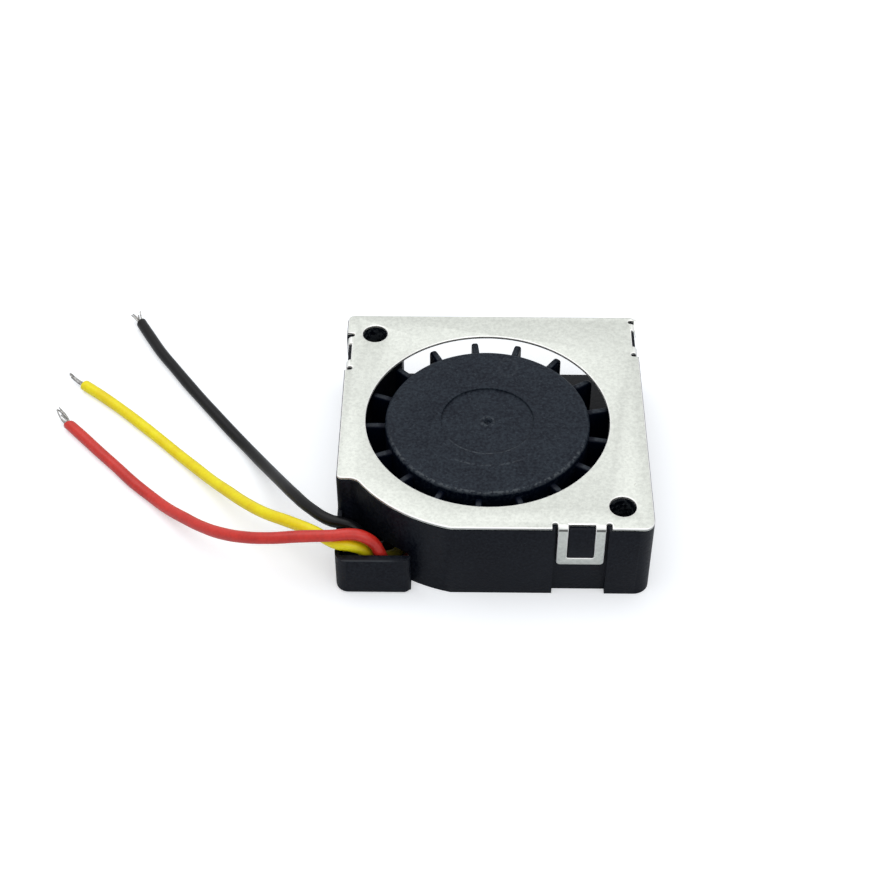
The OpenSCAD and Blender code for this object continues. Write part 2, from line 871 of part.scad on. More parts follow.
// Where the winding pins stand
module at_pins() {
    for (k = [0 : 2])
        rotate(k * 360 / tooth_count + pin_turn)
            translate([pin_place, 0, 0])
                children();
}

module winding_pins() {
    color("#d9d9d4")
        translate([axis_x, axis_y, board_top])
            at_pins()
                cylinder(d = pin_diameter, h = stator_rise, $fn = 24);
}

// ---- circuit board ----

module circuit_board() {
    color("#1f5b3a")
        translate([axis_x, axis_y, board_bottom])
            ring(board_diameter / 2, tube_radius + board_clearance, board_thickness);
}

module driver_chip() {
    stand = 0.05; // gap between the chip's body and the board
    leg = [0.3, 0.2, 0.15];
    color("#1a1a1c")
        translate([axis_x, axis_y, board_top])
            rotate(180 / tooth_count)
                translate([parts_place, 0, 0]) {
                    translate([-chip_width / 2, -chip_length / 2, stand])
                        cube([chip_width, chip_length, chip_height - stand]);
                    // two legs on each side
                    for (sx = [-1, 1], sy = [-1, 1])
                        translate([sx * chip_width / 2, sy * chip_length / 4, leg[2] / 2])
                            cube(leg, center = true);
                }
}

// A ceramic capacitor and a resistor, each with its two metal ends
module chip_components() {
    body = [1.0, 0.5, 0.35];
    end = 0.2; // length of a metal end
    for (turn = [135, 315])
        translate([axis_x, axis_y, board_top])
            rotate(turn)
                translate([parts_place, 0, body[2] / 2]) {
                    color(turn == 135 ? "#b08d62" : "#202224")
                        cube(body - [2 * end, 0, 0], center = true);
                    color("#d5d5d0")
                        for (side = [-1, 1])
                            translate([side * (body[0] - end) / 2, 0, 0])
                                cube([end, body[1], body[2]], center = true);
                }
}

// The stripped tail of a lead where it reaches the board
module tail(route) {
    way = unit(route[0] - route[1]);
    rod(route[0], route[0] + tail_length * way, tail_radius);
}

// A rounded drop of solder on its pad
module solder_drop(pad, height) {
    big = (pad * pad + height * height) / (2 * height);
    rotate_extrude($fn = 32)
        intersection() {
            translate([0, height - big])
                circle(big);
            square([pad, height]);
        }
}

module solder_joints() {
    color("#c4c7c9") {
        for (route = [red_route, yellow_route, black_route])
            difference() {
                translate([0, 0, board_top] + flat(tail_end(route)))
                    solder_drop(lead_pad, lead_solder_height);
                tail(route);
            }
        translate([axis_x, axis_y, board_top])
            at_pins()
                difference() {
                    solder_drop(pin_pad, pin_solder_height);
                    translate([0, 0, -reach])
                        cylinder(d = pin_diameter, h = 2 * reach, $fn = 24);
                }
    }
}

function flat(p) = [p[0], p[1], 0];
// The middle of the solder joint that covers a tail's end
function tail_end(route) =
    route[0] + (tail_length - lead_pad / 2) * unit(route[0] - route[1]);

// ---- leads ----

// The seven strands of a conductor: one in the middle and six round it, fanned out at the tip
module strands(route, fan, bend) {
    last = len(route) - 1;
    way = unit(route[last] - route[last - 1]);
    side = unit(cross([0, 0, 1], way));
    up = cross(way, side);
    pitch = strand_diameter + 0.01;
    for (k = [0 : 6]) {
        out = k == 0 ? [0, 0, 0] : pitch * (cos(60 * k) * side + sin(60 * k) * up);
        rod(route[last] + out, route[last] + strand_length * way + fan * out + bend * side,
            strand_diameter / 2);
    }
}

module conductor(route, fan, bend) {
    color("#c9c5bb") {
        tail(route);
        strands(route, fan, bend);
    }
}

module red_lead() {
    color("#c8231b")
        tube_along(red_route, lead_diameter);
}

module yellow_lead() {
    color("#eab11c")
        tube_along(yellow_route, lead_diameter);
}

module black_lead() {
    color("#1b1c1f")
        tube_along(black_route, lead_diameter);
}

module red_conductor() {
    conductor(red_route, red_fan, red_bend);
}

module yellow_conductor() {
    conductor(yellow_route, yellow_fan, 0);
}

module black_conductor() {
    conductor(black_route, black_fan, 0);
}

housing();
top_cover();
impeller();
rotor_yoke();
rotor_magnet();
shaft();
retaining_ring();
oil_washer();
bearing_sleeve();
bearing_tube();
thrust_pad();
stator_laminations();
upper_insulator();
lower_insulator();
windings();
winding_pins();
circuit_board();
driver_chip();
chip_components();
solder_joints();
red_lead();
yellow_lead();
black_lead();
red_conductor();
yellow_conductor();
black_conductor();
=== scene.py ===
# %% [markdown]
# # A miniature radial blower, dressed in Blender
# The blower is a flat square box. A motor hub with blades turns in a snail-shaped housing of
# black plastic, a stamped nickel-plated sheet closes it, and three leads come out of a pocket at
# one corner. The CAD frame already has every piece at its real size and place. This script keeps
# what is right, remodels what a camera sees closely, and gives every piece its finish.

# %% Load the frame
import json
import math

import bmesh
import bpy
from mathutils import Matrix, Vector
from mathutils.geometry import interpolate_bezier


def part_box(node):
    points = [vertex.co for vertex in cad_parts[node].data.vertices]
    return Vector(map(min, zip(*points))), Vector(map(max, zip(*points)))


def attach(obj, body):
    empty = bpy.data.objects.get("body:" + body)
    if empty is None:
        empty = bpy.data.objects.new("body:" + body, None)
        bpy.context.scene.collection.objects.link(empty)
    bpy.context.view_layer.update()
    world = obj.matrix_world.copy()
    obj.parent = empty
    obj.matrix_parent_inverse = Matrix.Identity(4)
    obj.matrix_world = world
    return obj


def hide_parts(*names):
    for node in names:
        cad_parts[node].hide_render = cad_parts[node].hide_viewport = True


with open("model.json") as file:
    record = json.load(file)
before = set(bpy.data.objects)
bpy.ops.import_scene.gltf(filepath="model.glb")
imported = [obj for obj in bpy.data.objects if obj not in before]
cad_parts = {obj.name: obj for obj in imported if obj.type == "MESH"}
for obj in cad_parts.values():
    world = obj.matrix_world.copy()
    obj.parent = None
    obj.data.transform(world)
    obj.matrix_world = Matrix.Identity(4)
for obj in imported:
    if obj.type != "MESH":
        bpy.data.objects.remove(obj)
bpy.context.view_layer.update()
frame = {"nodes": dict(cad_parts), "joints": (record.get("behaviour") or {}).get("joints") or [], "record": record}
nodes = frame["nodes"]

# %% [markdown]
# ## Units and sizes
# The frame is in metres, but a piece this small is easier to think about in millimetres. So the
# sizes of the pieces are in millimetres, and MM turns them into metres. What the frame knows
# already, such as the rotor's axis, the screw holes and the case's height, is read from it.

# %% Units and the driving sizes
MM = 0.001
spin_joint = frame["joints"][0]
axis_x, axis_y = (value / MM for value in spin_joint["pos_m"][:2])
hole_places = [[value / MM for value in mount["pos_m"][:2]]
               for mount in frame["record"]["mounts"] if mount["kind"] == "bore"]
hole_radius = frame["record"]["mounts"][0]["dims"]["r_mm"]
housing_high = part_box("housing")[1]
cover_low, cover_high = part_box("top_cover")
rotor_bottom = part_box("impeller")[0].z / MM
half = housing_high.x / MM
case_height = cover_high.z / MM
seat_z = housing_high.z / MM
cover_thickness = case_height - seat_z
print(f"case {2 * half:.1f} mm square and {case_height:.2f} mm high, axis at {axis_x:.2f}, {axis_y:.2f}")

# %% [markdown]
# ## Camera
# A product shot of something this small is taken from about twelve centimetres, so the
# perspective is plain to see. The camera is set by where it stands, how far it looks down, and
# two small turns: one to the side, and one about its own line of sight. The turns are chained as
# matrices, because the last one acts in the camera's own frame.

# %% Camera
camera_place = Vector((-2.11, -81.72, 84.93)) * MM
look_down = math.radians(44.923)
turn_left = math.radians(0.771)
roll = math.radians(-0.072)

camera = bpy.data.objects.new("camera", bpy.data.cameras.new("camera"))
bpy.context.scene.collection.objects.link(camera)
camera.data.lens = 70.12
camera.data.sensor_width = 36.0
camera.data.clip_start = 0.001
camera.matrix_world = (
    Matrix.Translation(camera_place)
    @ Matrix.Rotation(turn_left, 4, "Z")
    @ Matrix.Rotation(math.pi / 2 - look_down, 4, "X")
    @ Matrix.Rotation(roll, 4, "Z")
)
bpy.context.scene.camera = camera
print("camera stands", round(camera_place.length * 1000), "mm from the origin")

# %% [markdown]
# ## Leads
# Each lead is a length of thin insulated wire, 0.8 mm across. Such a wire is a curve with
# a round bevel: the curve is its centre line, and the bevel depth is half its diameter. Automatic
# Bezier handles make one smooth line through listed points. The points are those of the
# frame's own leads: soldered at the board, out through the slot, up over the pocket's low wall,
# down to the table, and along it to a bare end.

# %% Routes of the leads
LEAD_DIAMETER = 0.8
ROUTES = {
    "red": [
        (-3.45, -5.6, 1), (-4.3, -6.7, 1), (-5.2, -7.8, 1), (-5.8, -8.55, 1.1), (-6.4, -9.05, 1.45),
        (-6.85, -9.2, 2.05), (-7.15, -9.2, 2.8), (-7.45, -9.05, 3.45), (-8, -9, 4),
        (-8.7, -8.95, 4.25), (-10.15, -9.1, 4.3), (-12.1, -9.05, 4.15), (-14.05, -8.85, 3.75),
        (-15.8, -8.3, 3.2), (-17.4, -7.4, 2.55), (-18.85, -6.25, 1.9), (-20.2, -4.95, 1.3),
        (-21.55, -3.6, 0.75), (-22.9, -2.2, 0.45), (-24.3, -0.85, 0.4), (-25.65, 0.6, 0.4),
        (-27, 2, 0.4), (-28.35, 3.45, 0.4), (-29.5, 4.65, 0.4),
    ],
    "yellow": [
        (-4.15, -5.05, 1), (-5.05, -6.15, 1), (-5.9, -7.25, 1), (-6.45, -7.9, 1.15),
        (-7, -8.35, 1.5), (-7.55, -8.75, 2), (-7.95, -9, 2.5), (-8.4, -9.05, 3.05),
        (-9.05, -9.1, 3.4), (-9.8, -9.05, 3.5), (-11.45, -7.9, 3.4), (-13.15, -6.8, 3.1),
        (-14.75, -5.6, 2.55), (-16.2, -4.2, 2), (-17.5, -2.7, 1.45), (-18.8, -1.2, 0.95),
        (-20.15, 0.35, 0.6), (-21.55, 1.85, 0.4), (-23, 3.3, 0.4), (-24.5, 4.75, 0.4),
        (-26, 6.15, 0.4), (-27.55, 7.5, 0.4), (-29.05, 8.7, 0.4),
    ],
    "black": [
        (-4.9, -4.5, 1), (-5.75, -5.6, 1), (-6.4, -6.4, 1), (-6.95, -7.05, 1.15),
        (-7.45, -7.5, 1.5), (-7.9, -7.7, 2.05), (-8.35, -7.65, 2.7), (-8.95, -7.45, 3.3),
        (-9.75, -7.25, 3.5), (-10.3, -7.1, 3.5), (-11.8, -5.8, 3.3), (-12.95, -4.2, 2.85),
        (-13.9, -2.55, 2.2), (-14.8, -0.9, 1.5), (-15.8, 0.8, 0.9), (-16.85, 2.45, 0.5),
        (-18.05, 4.05, 0.4), (-19.3, 5.7, 0.4), (-20.5, 7.3, 0.4), (-21.7, 8.95, 0.4),
        (-22.85, 10.6, 0.4), (-24, 12.25, 0.4), (-25.05, 14, 0.4), (-25.95, 15.55, 0.4),
    ],
}


def route_length(points):
    """The length of a route along its points."""
    return sum((Vector(b) - Vector(a)).length for a, b in zip(points, points[1:]))


for colour, points in ROUTES.items():
    print(f"{colour} lead: {len(points)} points, {route_length(points):.1f} mm")

# %% Draw the leads


def smooth_curve(name, points, radius, resolution, roundness=6, waver=0.0):
    """A round wire along points, in millimetres; waver makes its thickness a little uneven."""
    data = bpy.data.curves.new(name, "CURVE")
    data.dimensions = "3D"
    data.resolution_u = resolution
    data.bevel_depth = radius
    data.bevel_resolution = roundness
    data.use_fill_caps = True
    spline = data.splines.new("BEZIER")
    spline.bezier_points.add(len(points) - 1)
    for k, (knot, point) in enumerate(zip(spline.bezier_points, points)):
        knot.co = Vector(point)
        knot.handle_left_type = "AUTO"
        knot.handle_right_type = "AUTO"
        knot.radius = 1 + waver * (math.sin(2.4 * k) - 1)
    wire = bpy.data.objects.new(name, data)
    bpy.context.scene.collection.objects.link(wire)
    return wire


def centre_line(wire, steps=8):
    """Points along the middle of a wire, in metres."""
    bpy.context.view_layer.update()
    knots = wire.data.splines[0].bezier_points
    line = []
    for a, b in zip(knots, knots[1:]):
        line += interpolate_bezier(a.co, a.handle_right, b.handle_left, b.co, steps + 1)[:-1]
    line.append(knots[-1].co.copy())
    return [point * MM for point in line]


lead_curves = {colour: smooth_curve(f"{colour}_insulation", points, LEAD_DIAMETER / 2, 8, waver=0.02)
               for colour, points in ROUTES.items()}
centre_lines = {colour: centre_line(wire) for colour, wire in lead_curves.items()}
print("drew", ", ".join(lead_curves))

# %% [markdown]
# ## Tools for modelling
# Two units are in play. The scene is in metres, but the finest edges here are a twentieth of
# a millimetre, and Blender's modelling tools lose their footing below about a thousandth of
# a unit. So each piece is modelled with one unit as one millimetre. At the end `place_in_metres`
# shrinks it and applies that, so that the finished piece sits at the origin, unscaled.

# %% Helpers that every piece uses


def deselect_all():
    """Leaves nothing selected, so that the next operator acts only on what is chosen."""
    if bpy.context.object and bpy.context.object.mode != "OBJECT":
        bpy.ops.object.mode_set(mode="OBJECT")
    bpy.ops.object.select_all(action="DESELECT")


def choose(*objects):
    """Selects these objects, the first one as the active one."""
    deselect_all()
    for item in objects:
        item.select_set(True)
    bpy.context.view_layer.objects.active = objects[0]


def edit_all(piece):
    """Opens a piece in edit mode with everything selected."""
    choose(piece)
    bpy.ops.object.mode_set(mode="EDIT")
    bpy.ops.mesh.select_all(action="SELECT")


def join_as_mesh(parts, name):
    """Turns curves or meshes into one mesh object."""
    choose(*parts)
    bpy.ops.object.convert(target="MESH")
    if len(parts) > 1:
        bpy.ops.object.join()
    piece = bpy.context.object
    piece.name = name
    piece.data.name = name
    return piece


def close_and_orient(piece, gap=1e-4):
    """Merges doubled points, closes the form, and turns every face outwards."""
    edit_all(piece)
    bpy.ops.mesh.remove_doubles(threshold=gap)
    bpy.ops.mesh.normals_make_consistent(inside=False)
    if bmesh.from_edit_mesh(piece.data).calc_volume(signed=True) < 0:
        bpy.ops.mesh.flip_normals()
    bpy.ops.object.mode_set(mode="OBJECT")


def apply_modifier(piece, kind, **settings):
    """Adds a modifier, sets it and applies it."""
    choose(piece)
    modifier = piece.modifiers.new(kind.lower(), kind)
    for name, value in settings.items():
        setattr(modifier, name, value)
    bpy.ops.object.modifier_apply(modifier=modifier.name)


def select_edges(piece, test):
    """Selects the edges of a piece whose middle and direction pass a test."""
    choose(piece)
    bpy.ops.object.mode_set(mode="EDIT")
    bpy.ops.mesh.select_mode(type="EDGE")
    bpy.ops.mesh.select_all(action="DESELECT")
    bpy.ops.object.mode_set(mode="OBJECT")
    mesh = piece.data
    for edge in mesh.edges:
        a, b = (mesh.vertices[index].co for index in edge.vertices)
        edge.select = bool(test((a + b) / 2, (b - a).normalized()))
    bpy.ops.object.mode_set(mode="EDIT")


def round_edges(piece, width, angle=30, segments=2):
    """Rounds the sharp edges of a moulded piece."""
    apply_modifier(piece, "BEVEL", width=width, segments=segments, limit_method="ANGLE",
                   angle_limit=math.radians(angle), use_clamp_overlap=True, harden_normals=False)
    close_and_orient(piece, gap=2e-4)


def keep_flats_flat(piece):
    """Lets the large flat faces rule the shading, up to the rounded edges between them."""
    apply_modifier(piece, "WEIGHTED_NORMAL", keep_sharp=True, weight=80)


def place_in_metres(piece, smooth_angle=35):
    """Shades the finished piece and brings it from millimetres to metres."""
    choose(piece)
    bpy.ops.object.shade_smooth_by_angle(angle=math.radians(smooth_angle))
    piece.scale = (MM, MM, MM)
    bpy.ops.object.transform_apply(location=True, rotation=True, scale=True)


print("the tools for modelling are ready, at", round(1 / MM), "units to the metre")

# %% [markdown]
# ## Bare ends
# Seven fine tinned strands stick out of each lead. They were cut by hand, so each bundle looks
# different: the black one is splayed, the yellow one is still twisted into a point, and on the red
# one two strands bulge apart. Each strand is a short curve of its own: it starts inside
# the insulation, bows out at its middle, and ends at a tip. The curves are turned into meshes and
# joined, because a bundle is one piece on the lead.

# %% Strands
STRAND_RADIUS = 0.05
TAIL_LENGTH = 1.2
STRAND_START = 0.35
STRAND_PITCH = 2.2 * STRAND_RADIUS
TAIL_RADIUS = 3 * STRAND_RADIUS
CUT_EDGE = 0.03
WIRE_SMOOTH_ANGLE = 50
# how far the free end of each insulation is cut aslant, per millimetre across it
CUT_SLANT = {"red": 0.45, "yellow": 0.15, "black": -0.2}
# for each strand: the sideways and upward place of its middle and of its tip, and its length; the
# first is the middle strand and the others lie round it
BUNDLES = {
    "red": [
        (-0.22, 0.10, -0.06, 0.42, 1.45), (0.13, 0.16, -0.04, 0.40, 1.40),
        (-0.16, 0.05, -0.1, 0.30, 1.3), (-0.19, 0.12, -0.14, 0.44, 1.5),
        (-0.12, 0.08, -0.12, 0.25, 1.15), (0.10, 0.10, 0.0, 0.34, 1.2),
        (-0.2, 0.03, -0.14, 0.2, 1.0),
    ],
    "yellow": [
        (-0.02, 0.02, 0.05, 0.30, 1.5), (-0.08, 0.0, 0.0, 0.24, 1.45),
        (0.05, 0.04, 0.1, 0.30, 1.42), (0.08, 0.0, 0.12, 0.26, 1.35),
        (0.0, 0.08, 0.06, 0.33, 1.46), (0.02, -0.04, 0.08, 0.2, 1.3),
        (-0.05, 0.07, 0.03, 0.3, 1.4),
    ],
    "black": [
        (0.16, 0.05, 0.34, 0.12, 1.0), (0.12, 0.0, 0.26, 0.04, 0.92),
        (0.14, 0.08, 0.3, 0.15, 0.95), (-0.1, 0.06, -0.26, 0.16, 1.05),
        (0.10, 0.02, 0.24, 0.1, 0.85), (-0.08, 0.03, -0.2, 0.1, 0.9),
        (0.12, 0.1, 0.22, 0.2, 0.8),
    ],
}


def bundle(colour):
    """The seven strands at the free end, and the stripped tail at the board."""
    route = [Vector(point) for point in ROUTES[colour]]
    ahead = (route[-1] - route[-2]).normalized()
    side = Vector((0, 0, 1)).cross(ahead).normalized()
    up = ahead.cross(side)
    parts = []
    for k, (mid_side, mid_up, tip_side, tip_up, length) in enumerate(BUNDLES[colour]):
        turn = math.radians(60 * k)
        ring = STRAND_PITCH if k else 0.0
        root = route[-1] + ring * (math.cos(turn) * side + math.sin(turn) * up)
        points = [
            root - STRAND_START * ahead,
            root,
            root + 0.5 * length * ahead + mid_side * side + mid_up * up,
            root + length * ahead + tip_side * side + tip_up * up,
        ]
        points = [(p.x, p.y, max(p.z, STRAND_RADIUS)) for p in points]
        parts.append(smooth_curve(f"{colour}_strand_{k}", points, STRAND_RADIUS, 5, roundness=2))
    back = (route[0] - route[1]).normalized()
    parts.append(smooth_curve(f"{colour}_tail", [route[0], route[0] + TAIL_LENGTH * back], TAIL_RADIUS, 2))
    piece = join_as_mesh(parts, f"{colour}_strands")
    close_and_orient(piece)
    place_in_metres(piece, WIRE_SMOOTH_ANGLE)
    return piece


def cut_lead(colour):
    """The insulation as a closed mesh, with its free end cut a little aslant."""
    lead = join_as_mesh([lead_curves[colour]], f"{colour}_insulation")
    close_and_orient(lead)
    end = Vector(ROUTES[colour][-1])
    ahead = (end - Vector(ROUTES[colour][-2])).normalized()
    side = Vector((0, 0, 1)).cross(ahead)
    for vertex in lead.data.vertices:
        if (vertex.co - end).length < 0.55 * LEAD_DIAMETER:
            vertex.co += CUT_SLANT[colour] * (vertex.co - end).dot(side) * ahead
    round_edges(lead, CUT_EDGE)
    place_in_metres(lead, WIRE_SMOOTH_ANGLE)
    return lead


leads = {colour: cut_lead(colour) for colour in ROUTES}
strands = {colour: bundle(colour) for colour in ROUTES}
for colour in ROUTES:
    print(colour, len(leads[colour].data.polygons), "and", len(strands[colour].data.polygons), "faces")

# %% Tie the leads to the frame
for colour, lead in leads.items():
    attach(lead, "case")
    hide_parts(f"{colour}_lead")
    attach(strands[colour], "case")
    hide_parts(f"{colour}_conductor")
print("the leads measure", [round(route_length(line) / MM, 1) for line in centre_lines.values()])

# %% [markdown]
# ## Sheet, moulding and turned form
# The three pieces that a camera sees most are of three kinds. A stamped sheet is a filled flat
# curve with a small bevel, which gives it the soft rim that a punch leaves. A moulded piece is the
# frame's own form with its sharp edges rounded, because no mould has a perfectly sharp edge.
# A turned piece is a profile that is spun about the rotor's axis. Their outlines are drawn with
# arcs, and each piece then stands for the node of the frame that it replaces.

# %% Helpers for the three pieces


def arc(centre, radius, start, end, steps):
    """Points on a circle from one bearing to another, in degrees."""
    return [
        (centre[0] + radius * math.cos(math.radians(start + (end - start) * k / steps)),
         centre[1] + radius * math.sin(math.radians(start + (end - start) * k / steps)))
        for k in range(steps + 1)
    ]


def stand_for(piece, node, body):
    """Ties a remodelled piece to its body and hides the CAD node that it replaces."""
    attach(piece, body)
    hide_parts(node)
    print(f"{piece.name} stands for {node}: {len(piece.data.polygons)} faces")


print("an arc of 90 degrees in 8 steps has", len(arc((0, 0), 1, 0, 90, 8)), "points")

# %% [markdown]
# ## The stamped cover
# The cover is cut flat from 0.25 mm sheet, with its three latch tabs sticking out, and then the
# tabs are folded down. The same way works here: a flat outline with holes first, and a fold
# afterwards, which moves each point of a tab along the bend's arc. Cutting it folded, as boxes,
# would leave a hard line where the bend begins. Two numbers are stored at each point on the way:
# how deep it lies in the sheet, and how far past the bend line. The cover's finish reads them. Two
# last cuts inside each bend line keep the bend's shading from running out over the flat top.

# %% Sizes of the cover
cover_margin = half - cover_high.x / MM
cover_side = half - cover_margin
axis = (axis_x, axis_y)
inlet_radius = 8.0
corner_wall_radius = 10.12
cut_length = 4.2
cut_fillet = 0.9
cut_edge_radius = 0.3
front_corner_radius = 0.7
back_corner_radius = 0.4
tab_half_width = 1.5
tab_inset = 0.1
bend_inner = 0.05
notch_width = 0.36
notch_depth = 0.55
window_half_width = 0.835
window_corner = 0.12
bar_height = 0.62
tab_corner = 0.27
rim = 0.08
bend_line = tab_inset + cover_thickness + bend_inner
bend_outer = bend_inner + cover_thickness
bend_length = bend_outer * math.pi / 2
leg_length = case_height - cover_thickness - bend_inner - cover_low.z / MM
blank_length = bend_length + leg_length
# each latch: the place of its centre on the case's face, and the turn of its wall
LATCHES = [
    (half - 4.55, -half, 0),
    (half, half - 2.2, 90),
    (-half, half - 3.75, -90),
]
print(f"the flat blank sticks out {blank_length:.2f} mm past the bend line at each tab")

# %% Outline of the blank


def on_wall(points, latch):
    """Moves points that are drawn for the front wall to a latch's own wall."""
    x, y, turn = latch
    c, s = math.cos(math.radians(turn)), math.sin(math.radians(turn))
    return [(x + c * p[0] - s * p[1], y + s * p[0] + c * p[1]) for p in points]


def tab_outline():
    """A tab with a notch on each side, from left to right along the front wall."""
    outer = tab_half_width + notch_width
    end = bend_line - blank_length
    round_top = notch_width / 2
    left = [(-outer, cover_margin)]
    left += arc((-outer + round_top, notch_depth - round_top), round_top, 180, 0, 8)
    left += arc((-tab_half_width + tab_corner, end + tab_corner), tab_corner, 180, 270, 8)
    return left + [(-x, y) for x, y in reversed(left)]


def window_outline():
    """The window in a tab, with rounded lower corners."""
    end = bend_line - blank_length + bar_height
    right = arc((window_half_width - window_corner, end + window_corner), window_corner, -90, 0, 5)
    right.append((window_half_width, bend_line))
    return [(-x, y) for x, y in reversed(right)] + right


def case_corner():
    """The cut corner: its round edge, the fillet, and the arc round the rotor."""
    wall = corner_wall_radius - cover_margin
    cut_y = cut_length - half + cover_margin
    fillet_y = cut_y - axis_y - cut_fillet
    fillet_x = -math.sqrt((wall + cut_fillet) ** 2 - fillet_y**2)
    touch = math.degrees(math.atan2(fillet_y, fillet_x))
    front = math.degrees(math.asin((cover_side + axis_y) / wall))
    points = arc((cut_edge_radius - cover_side, cut_y + cut_edge_radius), cut_edge_radius, 180, 270, 6)
    points += arc((axis_x + fillet_x, axis_y + fillet_y), cut_fillet, 90, touch + 180, 14)
    points += arc(axis, wall, touch + 360, 180 + front, 40)[1:]
    return points


def cover_outline():
    """The whole blank, anticlockwise from the cut corner."""
    front, right, left = LATCHES
    side = cover_side
    points = case_corner()
    points += on_wall(tab_outline(), front)
    r = front_corner_radius
    points += arc((side - r, r - side), r, -90, 0, 12)
    points += on_wall(tab_outline(), right)
    r = back_corner_radius
    points += arc((side - r, side - r), r, 0, 90, 8)
    points += arc((r - side, side - r), r, 90, 180, 8)
    points += on_wall(tab_outline(), left)
    return points


print("the blank's outline has", len(cover_outline()), "points")

# %% Draw and fill the blank


def flat_piece(name, outline, holes, low, thickness, edge):
    """A sheet with a rounded rim: a filled flat curve, made a mesh."""
    data = bpy.data.curves.new(name, "CURVE")
    data.dimensions = "2D"
    data.fill_mode = "BOTH"
    data.extrude = thickness / 2 - edge
    data.bevel_depth = edge
    data.bevel_resolution = 2
    data.offset = -edge
    for points in [outline] + [list(reversed(hole)) for hole in holes]:
        spline = data.splines.new("POLY")
        spline.points.add(len(points) - 1)
        for knot, point in zip(spline.points, points):
            knot.co = (point[0], point[1], 0, 1)
        spline.use_cyclic_u = True
    flat = bpy.data.objects.new(name, data)
    bpy.context.scene.collection.objects.link(flat)
    choose(flat)
    bpy.ops.object.convert(target="MESH")
    piece = bpy.context.object
    piece.location.z = low + thickness / 2
    bpy.ops.object.transform_apply(location=True, rotation=False, scale=False)
    close_and_orient(piece)
    return piece


def mark_points(piece, name, value_at):
    """Stores a number at every point of a piece, for its finish to read."""
    if name not in piece.data.attributes:
        piece.data.attributes.new(name, "FLOAT", "POINT")
    for vertex, item in zip(piece.data.vertices, piece.data.attributes[name].data):
        item.value = value_at(vertex.co, item.value)


openings = [arc(axis, inlet_radius, 0, 360, 180)[1:]]
openings += [arc(place, hole_radius, 0, 360, 48)[1:] for place in hole_places]
openings += [on_wall(window_outline(), latch) for latch in LATCHES]
cover = flat_piece("cover_sheet", cover_outline(), openings, seat_z, cover_thickness, rim)
mark_points(cover, "depth", lambda spot, _: (case_height - spot.z) / cover_thickness)
print("the blank measures", [round(value, 2) for value in cover.dimensions])

# %% Fold the tabs
BEND_STEPS = 8
FLAT_STRIPS = (0.02, 0.1)


def cut_across(piece, point, normal):
    """Adds edges where a plane crosses the piece, so that it can bend there."""
    edit_all(piece)
    bpy.ops.mesh.bisect(plane_co=point, plane_no=normal)
    bpy.ops.object.mode_set(mode="OBJECT")


def fold_tab(piece, latch):
    """Moves each point of a tab to where the fold carries it."""
    x, y, turn = latch
    to_wall = Matrix.Translation((x, y, 0)) @ Matrix.Rotation(math.radians(turn), 4, "Z")
    from_wall = to_wall.inverted()
    for k in range(BEND_STEPS + 1):
        past = bend_line - bend_length * k / BEND_STEPS
        cut_across(piece, to_wall @ Vector((0, past, 0)), to_wall.to_3x3() @ Vector((0, 1, 0)))

    def past_bend(point):
        spot = from_wall @ point
        in_tab = abs(spot.x) <= tab_half_width + 0.01 and spot.y < bend_line
        return bend_line - spot.y if in_tab else 0.0

    mark_points(piece, "fold", lambda point, before: max(before, past_bend(point)))
    for vertex in piece.data.vertices:
        spot = from_wall @ vertex.co
        past = past_bend(vertex.co)
        if past <= 0:
            continue
        turned = min(past / bend_outer, math.pi / 2)
        radius = bend_outer - (case_height - spot.z)
        spot.y = bend_line - radius * math.sin(turned)
        spot.z = case_height - bend_outer + radius * math.cos(turned) - max(0, past - bend_length)
        vertex.co = to_wall @ spot


for latch in LATCHES:
    fold_tab(cover, latch)
close_and_orient(cover)
edit_all(cover)
bpy.ops.mesh.dissolve_limited(angle_limit=math.radians(0.5))
bpy.ops.object.mode_set(mode="OBJECT")
for x, y, turn in LATCHES:
    inward = Matrix.Rotation(math.radians(turn), 3, "Z") @ Vector((0, 1, 0))
    for strip in FLAT_STRIPS:
        cut_across(cover, Vector((x, y, 0)) + inward * (bend_line + strip), inward)
keep_flats_flat(cover)
place_in_metres(cover)
stand_for(cover, "top_cover", "case")

# %% [markdown]
# ## The moulded housing
# The housing is one moulding: floor, snail-shaped wall, latch channels and the leads' pocket. Its
# form in the frame is right, but its edges are perfectly sharp, and plastic never comes out of
# a mould that way. So its mesh is copied, its loose triangles are joined, flat areas become
# single faces again, and a bevel rounds each sharp edge by a few hundredths of a millimetre. That
# thin rounded edge is what catches the light on real black plastic. The foot of the leads' pocket
# is rounder than the rest, so the edges there get a wider bevel first.

# %% Housing
moulded_edge = 0.07
foot_edge = 0.22
pocket_height = 3.1
pocket_end = 4.8 - half


def copy_of_node(node, name):
    """A copy of a CAD node in millimetres, as one joined mesh with clean flat faces."""
    piece = nodes[node].copy()
    piece.data = nodes[node].data.copy()
    piece.parent = None
    piece.animation_data_clear()
    for key in list(piece.keys()):
        del piece[key]
    bpy.context.scene.collection.objects.link(piece)
    piece.name = piece.data.name = name
    piece.data.materials.clear()
    choose(piece)
    piece.scale = (1 / MM, 1 / MM, 1 / MM)
    bpy.ops.object.transform_apply(location=True, rotation=True, scale=True)
    edit_all(piece)
    bpy.ops.mesh.remove_doubles(threshold=1e-4)
    bpy.ops.mesh.dissolve_limited(angle_limit=math.radians(0.3))
    bpy.ops.object.mode_set(mode="OBJECT")
    return piece


def at_pocket_foot(middle, direction):
    """True for the level bottom edges along the front of the leads' pocket."""
    if middle.z > 0.01 or abs(direction.z) > 0.1:
        return False
    if middle.x > pocket_end - 0.05 or middle.y > -half + 0.6:
        return False
    front = middle.y < -half + 0.2
    outer_corner = middle.x < 1 - half
    end = middle.x > pocket_end - 0.6
    return front or outer_corner or end


